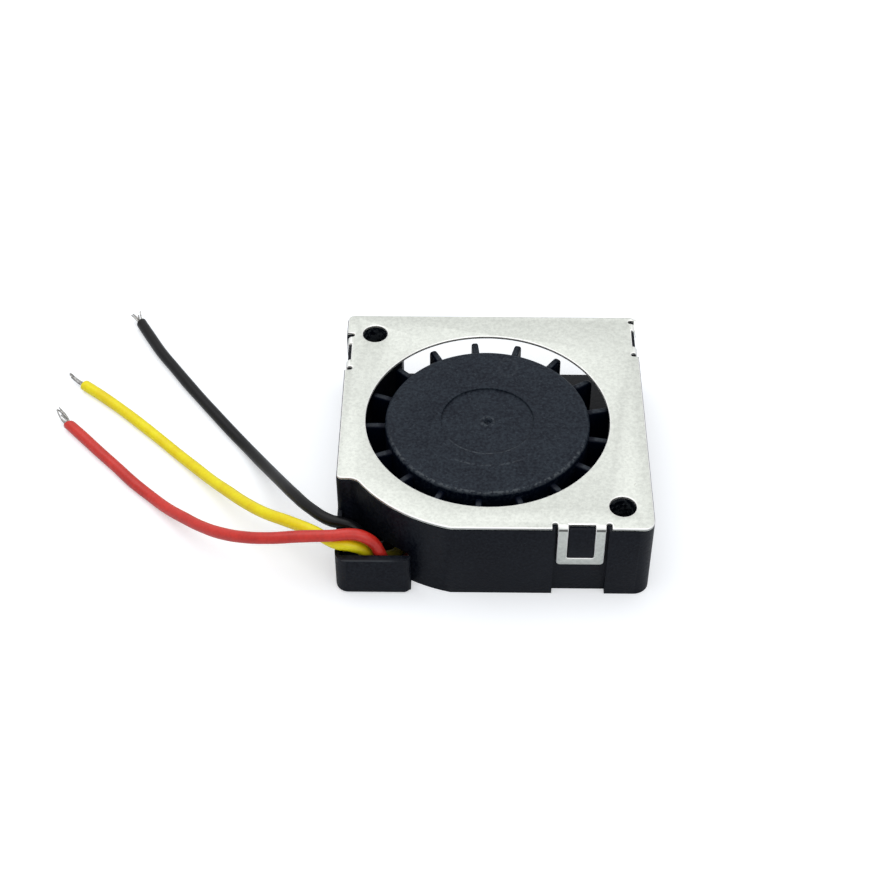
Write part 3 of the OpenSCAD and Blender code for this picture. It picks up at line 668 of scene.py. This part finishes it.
housing = copy_of_node("housing", "housing_moulding")
select_edges(housing, at_pocket_foot)
bpy.ops.mesh.bevel(offset=foot_edge, segments=4)
bpy.ops.object.mode_set(mode="OBJECT")
round_edges(housing, moulded_edge)
keep_flats_flat(housing)
place_in_metres(housing, smooth_angle=40)
stand_for(housing, "housing", "case")

# %% [markdown]
# ## The impeller
# The hub is a turned form: a cup with a rounded rim, a shallow round recess, and the ragged mark
# of the moulding gate in the middle. A half section is drawn with arcs and spun about the axis.
# The blades are straight bars with soft tops. One is modelled, and then copied round the hub.

# %% Sizes of the impeller
hub_radius = 6.73
hub_inner = 6.1
hub_top = case_height - 0.25
hub_ceiling = hub_top - 0.5
hub_edge = 0.25
recess_radius = 3.05
recess_depth = 0.18
boss_radius = 1.1
boss_bottom = hub_ceiling - 0.9
shaft_radius = 0.5
shaft_top = hub_top - 0.25
blade_count = 17
blade_thickness = 0.45
blade_top = case_height - 0.7
blade_tip = 8.3
blade_corner = 0.35
blade_edge = 0.14
first_blade = 117
print("blades reach from", round(hub_radius, 2), "to", round(blade_tip, 2))

# %% Hub
# radius and rise of the gate's broken rim, and the radii of a few flat rings outside it
GATE_MARK = [(0, -0.16), (0.15, -0.16), (0.22, -0.02), (0.32, 0.075), (0.42, 0.08), (0.50, 0.02), (0.57, 0)]
FLAT_RINGS = (0.62, 0.8, 1.4, 2.4)


def hub_profile():
    """Half section of the hub, from the recess's centre round to the shaft's blind hole."""
    soft = 0.05
    floor_z = hub_top - recess_depth
    points = [(radius, floor_z + rise) for radius, rise in GATE_MARK]
    points += [(radius, floor_z) for radius in FLAT_RINGS]
    points += arc((recess_radius - soft, floor_z + soft), soft, -90, 0, 3)
    points += arc((recess_radius + soft, hub_top - soft), soft, 180, 90, 3)
    points += arc((hub_radius - hub_edge, hub_top - hub_edge), hub_edge, 90, 0, 8)
    points += arc((hub_radius - soft, rotor_bottom + soft), soft, 0, -90, 3)
    points += arc((hub_inner + soft, rotor_bottom + soft), soft, -90, -180, 3)
    points += [(hub_inner, hub_ceiling), (boss_radius, hub_ceiling)]
    points += arc((boss_radius - soft, boss_bottom + soft), soft, 0, -90, 3)
    points += [(shaft_radius, boss_bottom), (shaft_radius, shaft_top), (0, shaft_top)]
    return points


def spin_profile(name, profile, steps=144):
    """Turns a half section about the rotor's axis."""
    mesh = bpy.data.meshes.new(name)
    mesh.from_pydata([(x, 0, z) for x, z in profile], [(k, k + 1) for k in range(len(profile) - 1)], [])
    piece = bpy.data.objects.new(name, mesh)
    bpy.context.scene.collection.objects.link(piece)
    edit_all(piece)
    bpy.ops.mesh.spin(steps=steps, angle=2 * math.pi, center=(0, 0, 0), axis=(0, 0, 1))
    bpy.ops.object.mode_set(mode="OBJECT")
    close_and_orient(piece)
    return piece


def tear_gate(piece):
    """Makes the broken rim of the gate uneven all round."""
    for vertex in piece.data.vertices:
        out = math.hypot(vertex.co.x, vertex.co.y)
        if out == 0 or out >= 0.5 or vertex.co.z <= hub_ceiling + 0.3:
            continue
        turn = math.atan2(vertex.co.y, vertex.co.x)
        torn = 1 + 0.12 * math.cos(4 * turn) + 0.07 * math.sin(3 * turn + 1) + 0.05 * math.sin(7 * turn)
        vertex.co.x *= torn
        vertex.co.y *= torn
        vertex.co.z += 0.03 * math.sin(2 * turn + 0.6) * (out > 0.25) + 0.012 * math.sin(5 * turn)


hub = spin_profile("impeller_hub", hub_profile())
tear_gate(hub)
print(hub.name, "has", len(hub.data.polygons), "faces")

# %% [markdown]
# A blade starts as a cube at its real size. Its root reaches a little way into the hub's wall. Its
# upper outer corner is rounded by about a third of a millimetre, and then its outer upright edges
# and the rest of its top get a soft edge.

# %% Blades


def blade():
    """One blade along +X, from inside the hub's wall to its rounded tip."""
    root = (hub_inner + hub_radius) / 2
    bpy.ops.mesh.primitive_cube_add(size=1)
    piece = bpy.context.object
    piece.name = "blade"
    piece.scale = (blade_tip - root, blade_thickness, blade_top - rotor_bottom)
    piece.location = ((blade_tip + root) / 2, 0, (blade_top + rotor_bottom) / 2)
    bpy.ops.object.transform_apply(location=True, rotation=True, scale=True)
    near = 0.01
    select_edges(piece, lambda middle, direction: abs(direction.y) > 0.9
                 and middle.x > blade_tip - near and middle.z > blade_top - near)
    bpy.ops.mesh.bevel(offset=blade_corner, segments=5)
    bpy.ops.object.mode_set(mode="OBJECT")
    select_edges(piece, lambda middle, direction: abs(direction.y) < 0.1
                 and abs(middle.y) > near and middle.x > root + near
                 and (middle.x > blade_tip - blade_corner - near or middle.z > blade_top - near))
    bpy.ops.mesh.bevel(offset=blade_edge, segments=4)
    bpy.ops.object.mode_set(mode="OBJECT")
    return piece


first = blade()
blades = [first]
for k in range(1, blade_count):
    copy = first.copy()
    copy.data = first.data.copy()
    bpy.context.scene.collection.objects.link(copy)
    blades.append(copy)
for k, item in enumerate(blades):
    choose(item)
    item.rotation_euler = (0, 0, math.radians(first_blade + 360 / blade_count * k))
    bpy.ops.object.transform_apply(location=True, rotation=True, scale=True)
print("made", len(blades), "blades of", len(first.data.polygons), "faces each")

# %% [markdown]
# Hub and blades are one moulding, so they are joined to one piece. It is then moved onto the
# rotor's axis, which is the axis that it spins about with the rotor's body.

# %% Join hub and blades
impeller = join_as_mesh([hub] + blades, "impeller_moulding")
impeller.location = (axis_x, axis_y, 0)
bpy.ops.object.transform_apply(location=True, rotation=False, scale=False)
keep_flats_flat(impeller)
place_in_metres(impeller, smooth_angle=40)
stand_for(impeller, "impeller", "rotor")

# %% [markdown]
# ## Finishes
# A finish is a small graph of nodes. To keep it readable, a socket is wrapped in a class whose
# operators add Math nodes, so a mask can be written as a formula. Every pattern reads the Object
# coordinates, turned into millimetres, so a speck of 0.1 mm is a speck of 0.1 mm on any piece.

# %% Socket arithmetic


class Wire:
    """The output of a node, which can be used in formulas."""

    def __init__(self, tree, socket):
        self.tree = tree
        self.socket = socket

    def math(self, operation, *values):
        """A Math node with these values or wires as its inputs."""
        node = self.tree.nodes.new("ShaderNodeMath")
        node.operation = operation
        for slot, value in zip(node.inputs, values):
            plug(self.tree, slot, value)
        return Wire(self.tree, node.outputs[0])

    def through(self, function):
        """This value through a function of one value, such as SQRT or SINE."""
        return self.math(function, self)

    def __add__(self, other):
        return self.math("ADD", self, other)

    def __sub__(self, other):
        return self.math("SUBTRACT", self, other)

    def __rsub__(self, other):
        return self.math("SUBTRACT", other, self)

    def __mul__(self, other):
        return self.math("MULTIPLY", self, other)

    def __truediv__(self, other):
        return self.math("DIVIDE", self, other)

    __radd__ = __add__
    __rmul__ = __mul__

    def ramp(self, low, high):
        """0 below low, 1 above high, and a smooth step between."""
        node = self.tree.nodes.new("ShaderNodeMapRange")
        node.interpolation_type = "SMOOTHSTEP"
        plug(self.tree, node.inputs["Value"], self)
        plug(self.tree, node.inputs["From Min"], low)
        plug(self.tree, node.inputs["From Max"], high)
        return Wire(self.tree, node.outputs["Result"])

    def band(self, start, full, fade, end):
        """0 outside start and end, and 1 between full and fade."""
        return self.ramp(start, full) * (1.0 - self.ramp(fade, end))


def plug(tree, slot, value):
    """Puts a link or a plain value into a socket."""
    if isinstance(value, Wire):
        tree.links.new(value.socket, slot)
    elif isinstance(value, (tuple, list)) and len(value) == 3 and slot.type == "RGBA":
        slot.default_value = (*value, 1.0)
    else:
        slot.default_value = value


finishes = {}


class Finish:
    """A material with its main shader, and a method that adds any node to it."""

    def __init__(self, name, **constants):
        self.material = bpy.data.materials.new(name + "_finish")
        finishes[name] = self.material
        self.material.use_nodes = True
        self.tree = self.material.node_tree
        self.shader = self.tree.nodes["Principled BSDF"]
        self.set(**constants)
        place = self.add("ShaderNodeTexCoord", output="Object")
        self.mm = self.add("ShaderNodeVectorMath", {"operation": "SCALE"},
                           {"Vector": place, "Scale": 1 / MM})

    def add(self, kind, settings=None, inputs=None, output=0):
        """Any node: its settings first, then the values or links of its inputs."""
        node = self.tree.nodes.new(kind)
        for name, value in (settings or {}).items():
            setattr(node, name, value)
        for name, value in (inputs or {}).items():
            plug(self.tree, node.inputs[name], value)
        return Wire(self.tree, node.outputs[output])

    def set(self, **values):
        """Sets sockets of the main shader; an underscore stands for a space."""
        for name, value in values.items():
            plug(self.tree, self.shader.inputs[name.replace("_", " ")], value)

    def noise(self, size, detail=3.0, roughness=0.5, stretch=(1, 1, 1)):
        """Cloudy noise whose patches are about `size` millimetres across."""
        at = self.mm
        if stretch != (1, 1, 1):
            at = self.add("ShaderNodeVectorMath", {"operation": "DIVIDE"}, {0: self.mm, 1: stretch})
        return self.add("ShaderNodeTexNoise", {}, {"Vector": at, "Scale": 1 / size, "Detail": detail,
                                                   "Roughness": roughness}, "Fac")

    def mix(self, share, first, second):
        """A colour between two colours."""
        return self.add("ShaderNodeMix", {"data_type": "RGBA"}, {0: share, 6: first, 7: second}, 2)

    def along(self, direction):
        """The place along one direction, in millimetres."""
        return self.add("ShaderNodeVectorMath", {"operation": "DOT_PRODUCT"},
                        {0: self.mm, 1: direction}, "Value")

    def axes(self):
        """The place eastwards, northwards and upwards, in millimetres."""
        return [self.along(direction) for direction in ((1, 0, 0), (0, 1, 0), (0, 0, 1))]

    def stored(self, name):
        """The number that is stored under this name at each point of the piece."""
        return self.add("ShaderNodeAttribute", {"attribute_name": name}, output="Fac")

    def bump(self, height):
        """Relief from a height in millimetres."""
        relief = self.add("ShaderNodeBump", {}, {"Distance": MM, "Strength": 1.0, "Height": height})
        self.set(Normal=relief)


print("the tools for finishes are ready")

# %% [markdown]
# ### Plastics
# Moulded black plastic is never one flat tone. Its surface copies the fine spark texture of the
# mould, glass fibres make it slightly cloudy, and it is a little paler where the flow was cold.
# Use adds marks, and painted light is added along with them: each marks function below says how
# worn the surface is and how much painted highlight lightens it, how much shinier it is, and how
# much painted shade darkens it. Each mark is a band of distance or height, broken up by noise.

# %% Plastics
# the pale tint that worn spots and painted highlights mix towards
WEAR_AND_HIGHLIGHT_TINT = (0.11, 0.125, 0.14)


def moulded_plastic(name, colour, pale, roughness, grain=0.006, specular=0.15, marks=None):
    """Satin moulded plastic: clouds in the colour, and a fine texture in gloss and relief."""
    finish = Finish(name, Specular_IOR_Level=specular)
    clouds = finish.noise(1.8, detail=6, roughness=0.6)
    specks = finish.noise(0.2, detail=3, roughness=0.65).ramp(0.34, 0.66)
    flecks = finish.noise(0.16, detail=1).ramp(0.62, 0.72)
    tone = clouds.ramp(0.3, 0.7) * 0.2 + specks * 0.6 + flecks * 0.5
    # worn spots and painted highlights lighten the colour; painted shade pulls the tone down
    wear_and_highlight, shine, painted_shade = marks(finish) if marks else (None, 0.0, 0.0)
    body = finish.mix(tone - painted_shade, colour, pale)
    finish.set(Base_Color=finish.mix(wear_and_highlight, body, WEAR_AND_HIGHLIGHT_TINT) if marks else body)
    finish.set(Roughness=roughness + clouds.ramp(0.3, 0.7) * 0.06 + specks * 0.16 - 0.08 - shine)
    finish.bump(specks * grain + finish.noise(0.5, detail=2) * grain)


def hub_marks(finish):
    """Marks on the hub: painted highlights on its rim and the recess's edge, a smudge, an arc of rub marks, the
    gate's mark, and painted shade on the blades.
    """
    east, north, up = finish.axes()
    east = east - axis_x
    north = north - axis_y
    reach = (east * east + north * north).through("SQRT")
    patchy = finish.noise(0.22, detail=2).ramp(0.42, 0.58)
    front = 1.0 - north.ramp(-3.2, -1.0)
    # painted highlight on the front of the hub's rounded rim, broken up by noise
    rim_highlight = reach.band(hub_radius - 0.3, hub_radius - 0.2, hub_radius - 0.16, hub_radius)
    # painted highlight: a thin light ring round the front edge of the recess
    recess_edge_highlight = reach.band(recess_radius - 0.03, recess_radius + 0.03,
                             recess_radius + 0.07, recess_radius + 0.14)
    # a rub mark round the front, 4.2 mm out from the axis
    arc_mark = reach.band(4.10, 4.16, 4.22, 4.30) * (1.0 - north.ramp(-3.9, -3.3))
    # a ring-shaped smudge near the back: an ellipse by its centre and half widths
    across = (east - 1.4) / 0.62
    along = (north - 5.1) / 0.85
    smudge = (across * across + along * along).band(0.55, 0.95, 1.0, 1.5)
    gate = reach.band(0.30, 0.36, 0.44, 0.56) * patchy
    # painted shade darkens the blades below the hub's tone, apart from a painted highlight along their tops
    blade_top_highlight = up.ramp(blade_top - 0.05, blade_top - 0.01) * reach.ramp(hub_radius + 0.2, hub_radius + 0.5)
    wear_and_highlight = (rim_highlight * patchy * (front * 0.5 + 0.05) + recess_edge_highlight * front * (patchy * 0.4 + 0.12)
            + arc_mark * patchy * 0.35 + smudge * 0.09 + gate * 0.35)
    blade_shade = reach.ramp(hub_radius - 0.04, hub_radius + 0.04) * (1.0 - blade_top_highlight * (patchy * 0.4 + 0.6))
    return wear_and_highlight * (1.0 - blade_shade) + blade_top_highlight * 0.16, 0.0, blade_shade


def housing_marks(finish):
    """Bores that shine, as polished pins form them, with a painted highlight in their colour, and a painted
    highlight along the top edge of the leads' pocket.
    """
    east, north, up = finish.axes()
    bores = 0.0
    for x, y in hole_places:
        square = (east - x) * (east - x) + (north - y) * (north - y)
        bores = bores + (1.0 - square.ramp((hole_radius + 0.05) ** 2, (hole_radius + 0.25) ** 2))
    streaks = finish.noise(0.3, detail=2).ramp(0.45, 0.6)
    # a painted highlight along the top edge of the pocket's outer face, fading out towards its right end
    pocket_edge_highlight = up.band(pocket_height - 0.09, pocket_height - 0.03, pocket_height, pocket_height + 0.05)
    pocket_edge_highlight = pocket_edge_highlight * (1.0 - north.ramp(-half - 0.11, -half - 0.03)) * (1.0 - east.ramp(-6.9, -5.9))
    # the bores' share of the colour is a painted highlight; their lower roughness is a real shine
    return bores * streaks * 0.35 + pocket_edge_highlight * 0.3, bores * 0.2, 0.0


moulded_plastic("housing_plastic", (0.0, 0.0006, 0.0042), (0.010, 0.013, 0.019), 0.42, marks=housing_marks)
moulded_plastic("impeller_plastic", (0.0, 0.002, 0.009), (0.030, 0.040, 0.053), 0.46, 0.009, 0.13, hub_marks)
moulded_plastic("washer_plastic", (0.72, 0.70, 0.64), (0.80, 0.78, 0.72), 0.45, specular=0.4)
moulded_plastic("insulator_plastic", (0.74, 0.73, 0.69), (0.82, 0.81, 0.77), 0.4, specular=0.4)
moulded_plastic("chip_epoxy", (0.010, 0.010, 0.011), (0.022, 0.022, 0.023), 0.55, grain=0.003)
print("made", len(finishes), "plastics")

# %% [markdown]
# ### Metals
# The cover is nickel-plated sheet with a matt, slightly warm skin. Under the plating the rolled
# steel shows as fine mottling. Where the punch has turned the sheet's edge over, the plating is
# smoother, and a painted highlight makes a bright line on the edges; below it the torn part of the
# cut is dark. Each bend has a painted highlight where it starts and painted shade further on. Steel,
# bronze, brass and solder are simpler: one grain each, stretched along the way that the piece was worked.

# %% Metals


def plated_sheet(name):
    """Matt nickel on rolled steel, with painted highlights on the rim and at the start of each bend, a brown
    sheared edge, and painted shade along each bend.
    """
    finish = Finish(name, Metallic=1.0)
    depth = finish.stored("depth")
    fold = finish.stored("fold")
    mottle = finish.noise(0.55, detail=5, roughness=0.7)
    speck = finish.noise(0.2, detail=3, roughness=0.65)
    cloud = finish.noise(3.0, detail=3)
    tone = mottle.ramp(0.3, 0.7) * 0.2 + speck.ramp(0.3, 0.7) * 0.6 + cloud * 0.2
    pits = finish.noise(0.2, detail=2).ramp(0.66, 0.72) * finish.noise(1.6, detail=1).ramp(0.5, 0.62)
    rim_highlight_band = depth.band(0.0, 0.06, 0.30, 0.38)
    colour = finish.mix(tone, (0.58, 0.60, 0.565), (0.775, 0.80, 0.757))
    for share, tint in [
        (pits * 0.4, (0.36, 0.36, 0.32)),  # pits in the plating
        (fold.band(0.01, 0.05, 0.30, 0.36) * 0.8, (0.95, 0.96, 0.94)),  # painted highlight at the start of a bend
        (fold.band(0.34, 0.40, 0.50, 0.58) * 0.9, (0.10, 0.10, 0.095)),  # painted shade further along the bend
        (rim_highlight_band, (1.0, 1.0, 0.985)),  # painted highlight on the punched rim
        (depth.band(0.34, 0.40, 0.46, 0.52) * 0.95, (0.05, 0.045, 0.04)),  # torn part of the cut
        (depth.ramp(0.82, 0.92) * 0.6, (0.25, 0.23, 0.20)),  # shaded lower edge
    ]:
        colour = finish.mix(share, colour, tint)
    finish.set(Base_Color=colour)
    finish.set(Roughness=0.5 + mottle * 0.1 + speck * 0.06 - rim_highlight_band * 0.12)
    finish.bump(speck * 0.0014 + mottle * 0.0022)


def plain_metal(name, dark, light, roughness, size=0.3, grain=0.001, stretch=(1, 1, 1)):
    """Bare metal with a grain: cloudy, and slightly uneven in gloss."""
    finish = Finish(name, Metallic=1.0)
    grains = finish.noise(size, detail=4, roughness=0.6, stretch=stretch)
    finish.set(Base_Color=finish.mix(grains.ramp(0.3, 0.7), dark, light))
    finish.set(Roughness=roughness + grains * 0.12 - 0.06)
    finish.bump(grains * grain)


plated_sheet("cover_sheet")
plain_metal("yoke_steel", (0.50, 0.50, 0.49), (0.62, 0.62, 0.60), 0.36, 0.2, stretch=(1, 1, 6))
plain_metal("shaft_steel", (0.60, 0.60, 0.61), (0.70, 0.70, 0.71), 0.18, 0.1, 0.0003, (6, 6, 1))
plain_metal("sintered_bronze", (0.34, 0.22, 0.12), (0.62, 0.42, 0.24), 0.5, 0.07, 0.004)
plain_metal("brass", (0.72, 0.55, 0.25), (0.82, 0.64, 0.32), 0.28, 0.2, 0.0006, (6, 6, 1))
plain_metal("solder", (0.62, 0.63, 0.64), (0.78, 0.79, 0.80), 0.25, 0.15, 0.002)
plain_metal("tinned_copper", (0.16, 0.155, 0.15), (0.62, 0.61, 0.59), 0.3, 0.16, 0.004)


def magnet_ferrite(name):
    """Bonded ferrite: dull dark grey, with fine bright grains."""
    finish = Finish(name, Specular_IOR_Level=0.4)
    grains = finish.noise(0.05, detail=3)
    finish.set(Base_Color=finish.mix(grains.ramp(0.45, 0.75), (0.030, 0.029, 0.028), (0.075, 0.073, 0.070)))
    finish.set(Roughness=0.6 + grains * 0.15)
    finish.bump(grains * 0.003)


def stacked_sheets(name, thickness=0.2):
    """A stack of punched steel sheets: a thin dark joint between each two."""
    finish = Finish(name, Metallic=1.0)
    height = finish.along((0, 0, 1))
    saw = ((height + 0.001) / thickness).through("FRACT")
    joint = 1.0 - ((saw - 0.5).through("ABSOLUTE") * -2.0 + 1.0).ramp(0.0, 0.3)
    grains = finish.noise(0.25, detail=4)
    steel = finish.mix(grains, (0.36, 0.37, 0.39), (0.52, 0.53, 0.55))
    finish.set(Base_Color=finish.mix(joint, steel, (0.08, 0.08, 0.085)))
    finish.set(Roughness=0.38 + grains * 0.1 + joint * 0.2)
    finish.bump(joint * -0.008)


def wound_wire(name, pitch=0.11):
    """Enamelled copper wire, lying turn beside turn, with painted shade between the turns and a painted highlight
    on each.
    """
    finish = Finish(name, Metallic=0.85, Coat_Weight=0.6)
    around = finish.along((0, 0, 1)) + finish.noise(0.8) * 0.06
    across = finish.along((0.7, 0.7, 0)) * 0.2
    turn = ((around + across) * (2 * math.pi / pitch)).through("SINE") * 0.5 + 0.5
    # painted shade in the grooves between turns and a painted highlight on the top of each turn
    finish.set(Base_Color=finish.mix(turn, (0.20, 0.055, 0.015), (0.62, 0.24, 0.09)))
    finish.set(Roughness=0.3 + finish.noise(0.3) * 0.1)
    finish.bump(turn * 0.02)


magnet_ferrite("magnet")
stacked_sheets("lamination_steel")
wound_wire("copper_wire")
print("made", len(finishes), "finishes so far")

# %% [markdown]
# ### Board and chips
# The board is glass cloth in resin under green resist. The weave is a product of two sine waves.
# Where copper tracks lie under the resist it is paler, and noise with a hard step stands for them.

# %% Board and chips


def glass_board(name):
    """Green resist over glass weave, paler over the copper tracks."""
    finish = Finish(name, Specular_IOR_Level=0.5, Coat_Weight=0.3)
    east, north, _ = finish.axes()
    wave = (east * 25.0).through("SINE") * (north * 25.0).through("SINE")
    tracks = finish.noise(1.1, detail=0).ramp(0.49, 0.52)
    body = finish.mix(tracks, (0.010, 0.085, 0.035), (0.020, 0.150, 0.060))
    finish.set(Base_Color=finish.mix(wave * 0.1 + 0.1, body, (0.06, 0.22, 0.10)))
    finish.set(Roughness=0.35 + finish.noise(0.2) * 0.1)
    finish.bump(tracks * 0.02 + wave * 0.002)


def chip_ceramics(name):
    """The pale, grainy body of a chip resistor or capacitor."""
    finish = Finish(name)
    grains = finish.noise(0.08, detail=3)
    finish.set(Base_Color=finish.mix(grains, (0.42, 0.33, 0.24), (0.56, 0.46, 0.34)))
    finish.set(Roughness=0.5 + grains * 0.1)
    finish.bump(grains * 0.002)


glass_board("board_laminate")
chip_ceramics("chip_ceramic")
print("made", len(finishes), "finishes so far")

# %% [markdown]
# ### Wire insulation
# The leads have a soft, extruded plastic skin. Extrusion leaves faint lengthways waves and a dull
# bloom, with small scuffs where the wire was pulled through a hand. Down in the pocket, the skin is
# darkened with painted shade.

# %% Insulation


def insulation(name, deep, body, roughness=0.33, specular=0.5, shade_top=3.6):
    """Extruded insulation: waves in tone and gloss, small scuffs, and painted shade down in the pocket."""
    finish = Finish(name, Specular_IOR_Level=specular)
    east, _, up = finish.axes()
    wave = finish.noise(1.6, detail=3)
    skin = finish.noise(0.2, detail=3, roughness=0.6)
    scuff = finish.noise(0.5, detail=4, roughness=0.7).ramp(0.62, 0.75)
    tone = wave.ramp(0.2, 0.7) * 0.7 + skin.ramp(0.3, 0.7) * 0.3
    # painted shade: the skin darkens inside the pocket, and lower down
    pocket_shade = east.ramp(-10.2, -7.6) * (1.0 - up.ramp(1.4, shade_top))
    clean = finish.mix(tone, deep, body)
    finish.set(Base_Color=finish.mix(pocket_shade * 0.93, clean, (0.008, 0.006, 0.005)))
    finish.set(Roughness=roughness + skin * 0.1 + scuff * 0.15 - 0.05)
    finish.bump(skin * 0.0015 + wave * 0.006)


insulation("red_insulation", (0.50, 0.016, 0.010), (0.72, 0.034, 0.022))
insulation("yellow_insulation", (0.90, 0.68, 0.002), (1.0, 0.90, 0.006), specular=0.4, shade_top=4.5)
insulation("black_insulation", (0.0022, 0.0022, 0.003), (0.006, 0.006, 0.0075), 0.3, 0.22)
print("made", len(finishes), "finishes in all")

# %% [markdown]
# ## Every piece gets its finish
# Each node of the frame names a material slot, and the finishes have the same names. So a node
# looks up its own, and the remodelled pieces take the finish of the node that they stand for.

# %% Give every piece its finish


def give_finish(item, finish):
    """Replaces all of an object's material slots with one finish."""
    item.data.materials.clear()
    item.data.materials.append(finish)


for part in frame["record"]["subparts"]:
    give_finish(nodes[part["node"]], finishes[part["material_slot"]])
for piece, slot in [(cover, "cover_sheet"), (housing, "housing_plastic"), (impeller, "impeller_plastic")]:
    give_finish(piece, finishes[slot])
for colour in ROUTES:
    give_finish(leads[colour], finishes[f"{colour}_insulation"])
    give_finish(strands[colour], finishes["tinned_copper"])
print("gave finishes to", len(nodes), "nodes and", 3 + 2 * len(ROUTES), "modelled pieces")

# %% [markdown]
# ## Floor, light and backdrop
# The blower lies on a plain white sheet. To the camera the backdrop is pure white. Soft lamps
# light it at a plain level, so that each colour shows about as it is written. The floor glows
# a little for the camera alone, so it is white where it is bare and still carries the blower's
# soft shadow.

# %% Floor
FLOOR_GLOW = 0.4
deselect_all()
bpy.ops.mesh.primitive_plane_add(size=2.0, location=(0, 0, 0))
floor = bpy.context.object
floor.name = "floor"
paper = Finish("floor_paper", Roughness=0.9, Specular_IOR_Level=0.2)
paper.set(Base_Color=paper.mix(paper.noise(40.0), (0.79, 0.825, 0.87), (0.81, 0.84, 0.885)))
to_camera = paper.add("ShaderNodeLightPath", output="Is Camera Ray")
glow = paper.add("ShaderNodeEmission", {}, {"Color": (1, 1, 1), "Strength": FLOOR_GLOW}, "Emission")
clear = paper.add("ShaderNodeEmission", {}, {"Color": (0, 0, 0), "Strength": 0.0}, "Emission")
lit = paper.add("ShaderNodeMixShader", {}, {0: to_camera, 1: clear, 2: glow}, "Shader")
own_look = Wire(paper.tree, paper.shader.outputs[0])
both = paper.add("ShaderNodeAddShader", {}, {0: own_look, 1: lit}, "Shader")
plug(paper.tree, paper.tree.nodes["Material Output"].inputs["Surface"], both)
give_finish(floor, paper.material)
print("the floor is", round(floor.dimensions.x, 1), "m square")

# %% [markdown]
# ### Lamps and world
# One large lamp hangs above and a little behind, and a smaller one stands in front on the right.
# Both are wide, so shadows are soft. The world does the rest. A matt surface gets a soft sky that
# is brighter overhead. A mirrored ray finds an almost white surround, as nickel does in a light
# tent, and the camera sees pure white.

# %% Lamps and world


def soft_lamp(name, place, size, power):
    """A square soft lamp that faces the blower; place and size in metres, power in watts."""
    data = bpy.data.lights.new(name, "AREA")
    data.shape = "SQUARE"
    data.size = size
    data.energy = power
    lamp = bpy.data.objects.new(name, data)
    bpy.context.scene.collection.objects.link(lamp)
    lamp.location = place
    lamp.rotation_euler = (-Vector(place)).to_track_quat("-Z", "Y").to_euler()
    return lamp


soft_lamp("lamp_overhead", (-0.08, 0.10, 0.40), 0.40, 0.56)
soft_lamp("lamp_front", (0.18, -0.30, 0.30), 0.25, 0.25)

world = bpy.context.scene.world or bpy.data.worlds.new("studio")
bpy.context.scene.world = world
world.use_nodes = True
tree = world.node_tree
tree.nodes.clear()
path = tree.nodes.new("ShaderNodeLightPath")
camera_ray = Wire(tree, path.outputs["Is Camera Ray"])
glossy_ray = Wire(tree, path.outputs["Is Glossy Ray"])
backdrop = tree.nodes.new("ShaderNodeBackground")
backdrop.inputs["Color"].default_value = (1, 1, 1, 1)
direction = tree.nodes.new("ShaderNodeTexCoord")
split = tree.nodes.new("ShaderNodeSeparateXYZ")
tree.links.new(direction.outputs["Generated"], split.inputs[0])
height = Wire(tree, split.outputs["Z"])
surround = height.ramp(0.2, 0.9) * 0.15 + 0.8
seen = camera_ray.math("MAXIMUM", camera_ray, glossy_ray * surround)
soft_sky = height.ramp(0.05, 0.9) * 0.62 + 0.18
plug(tree, backdrop.inputs["Strength"], seen.math("MAXIMUM", seen, soft_sky * (1.0 - glossy_ray)))
out = tree.nodes.new("ShaderNodeOutputWorld")
tree.links.new(backdrop.outputs[0], out.inputs["Surface"])
bpy.context.scene.view_settings.view_transform = "Standard"
print("set the floor, two lamps and the world")
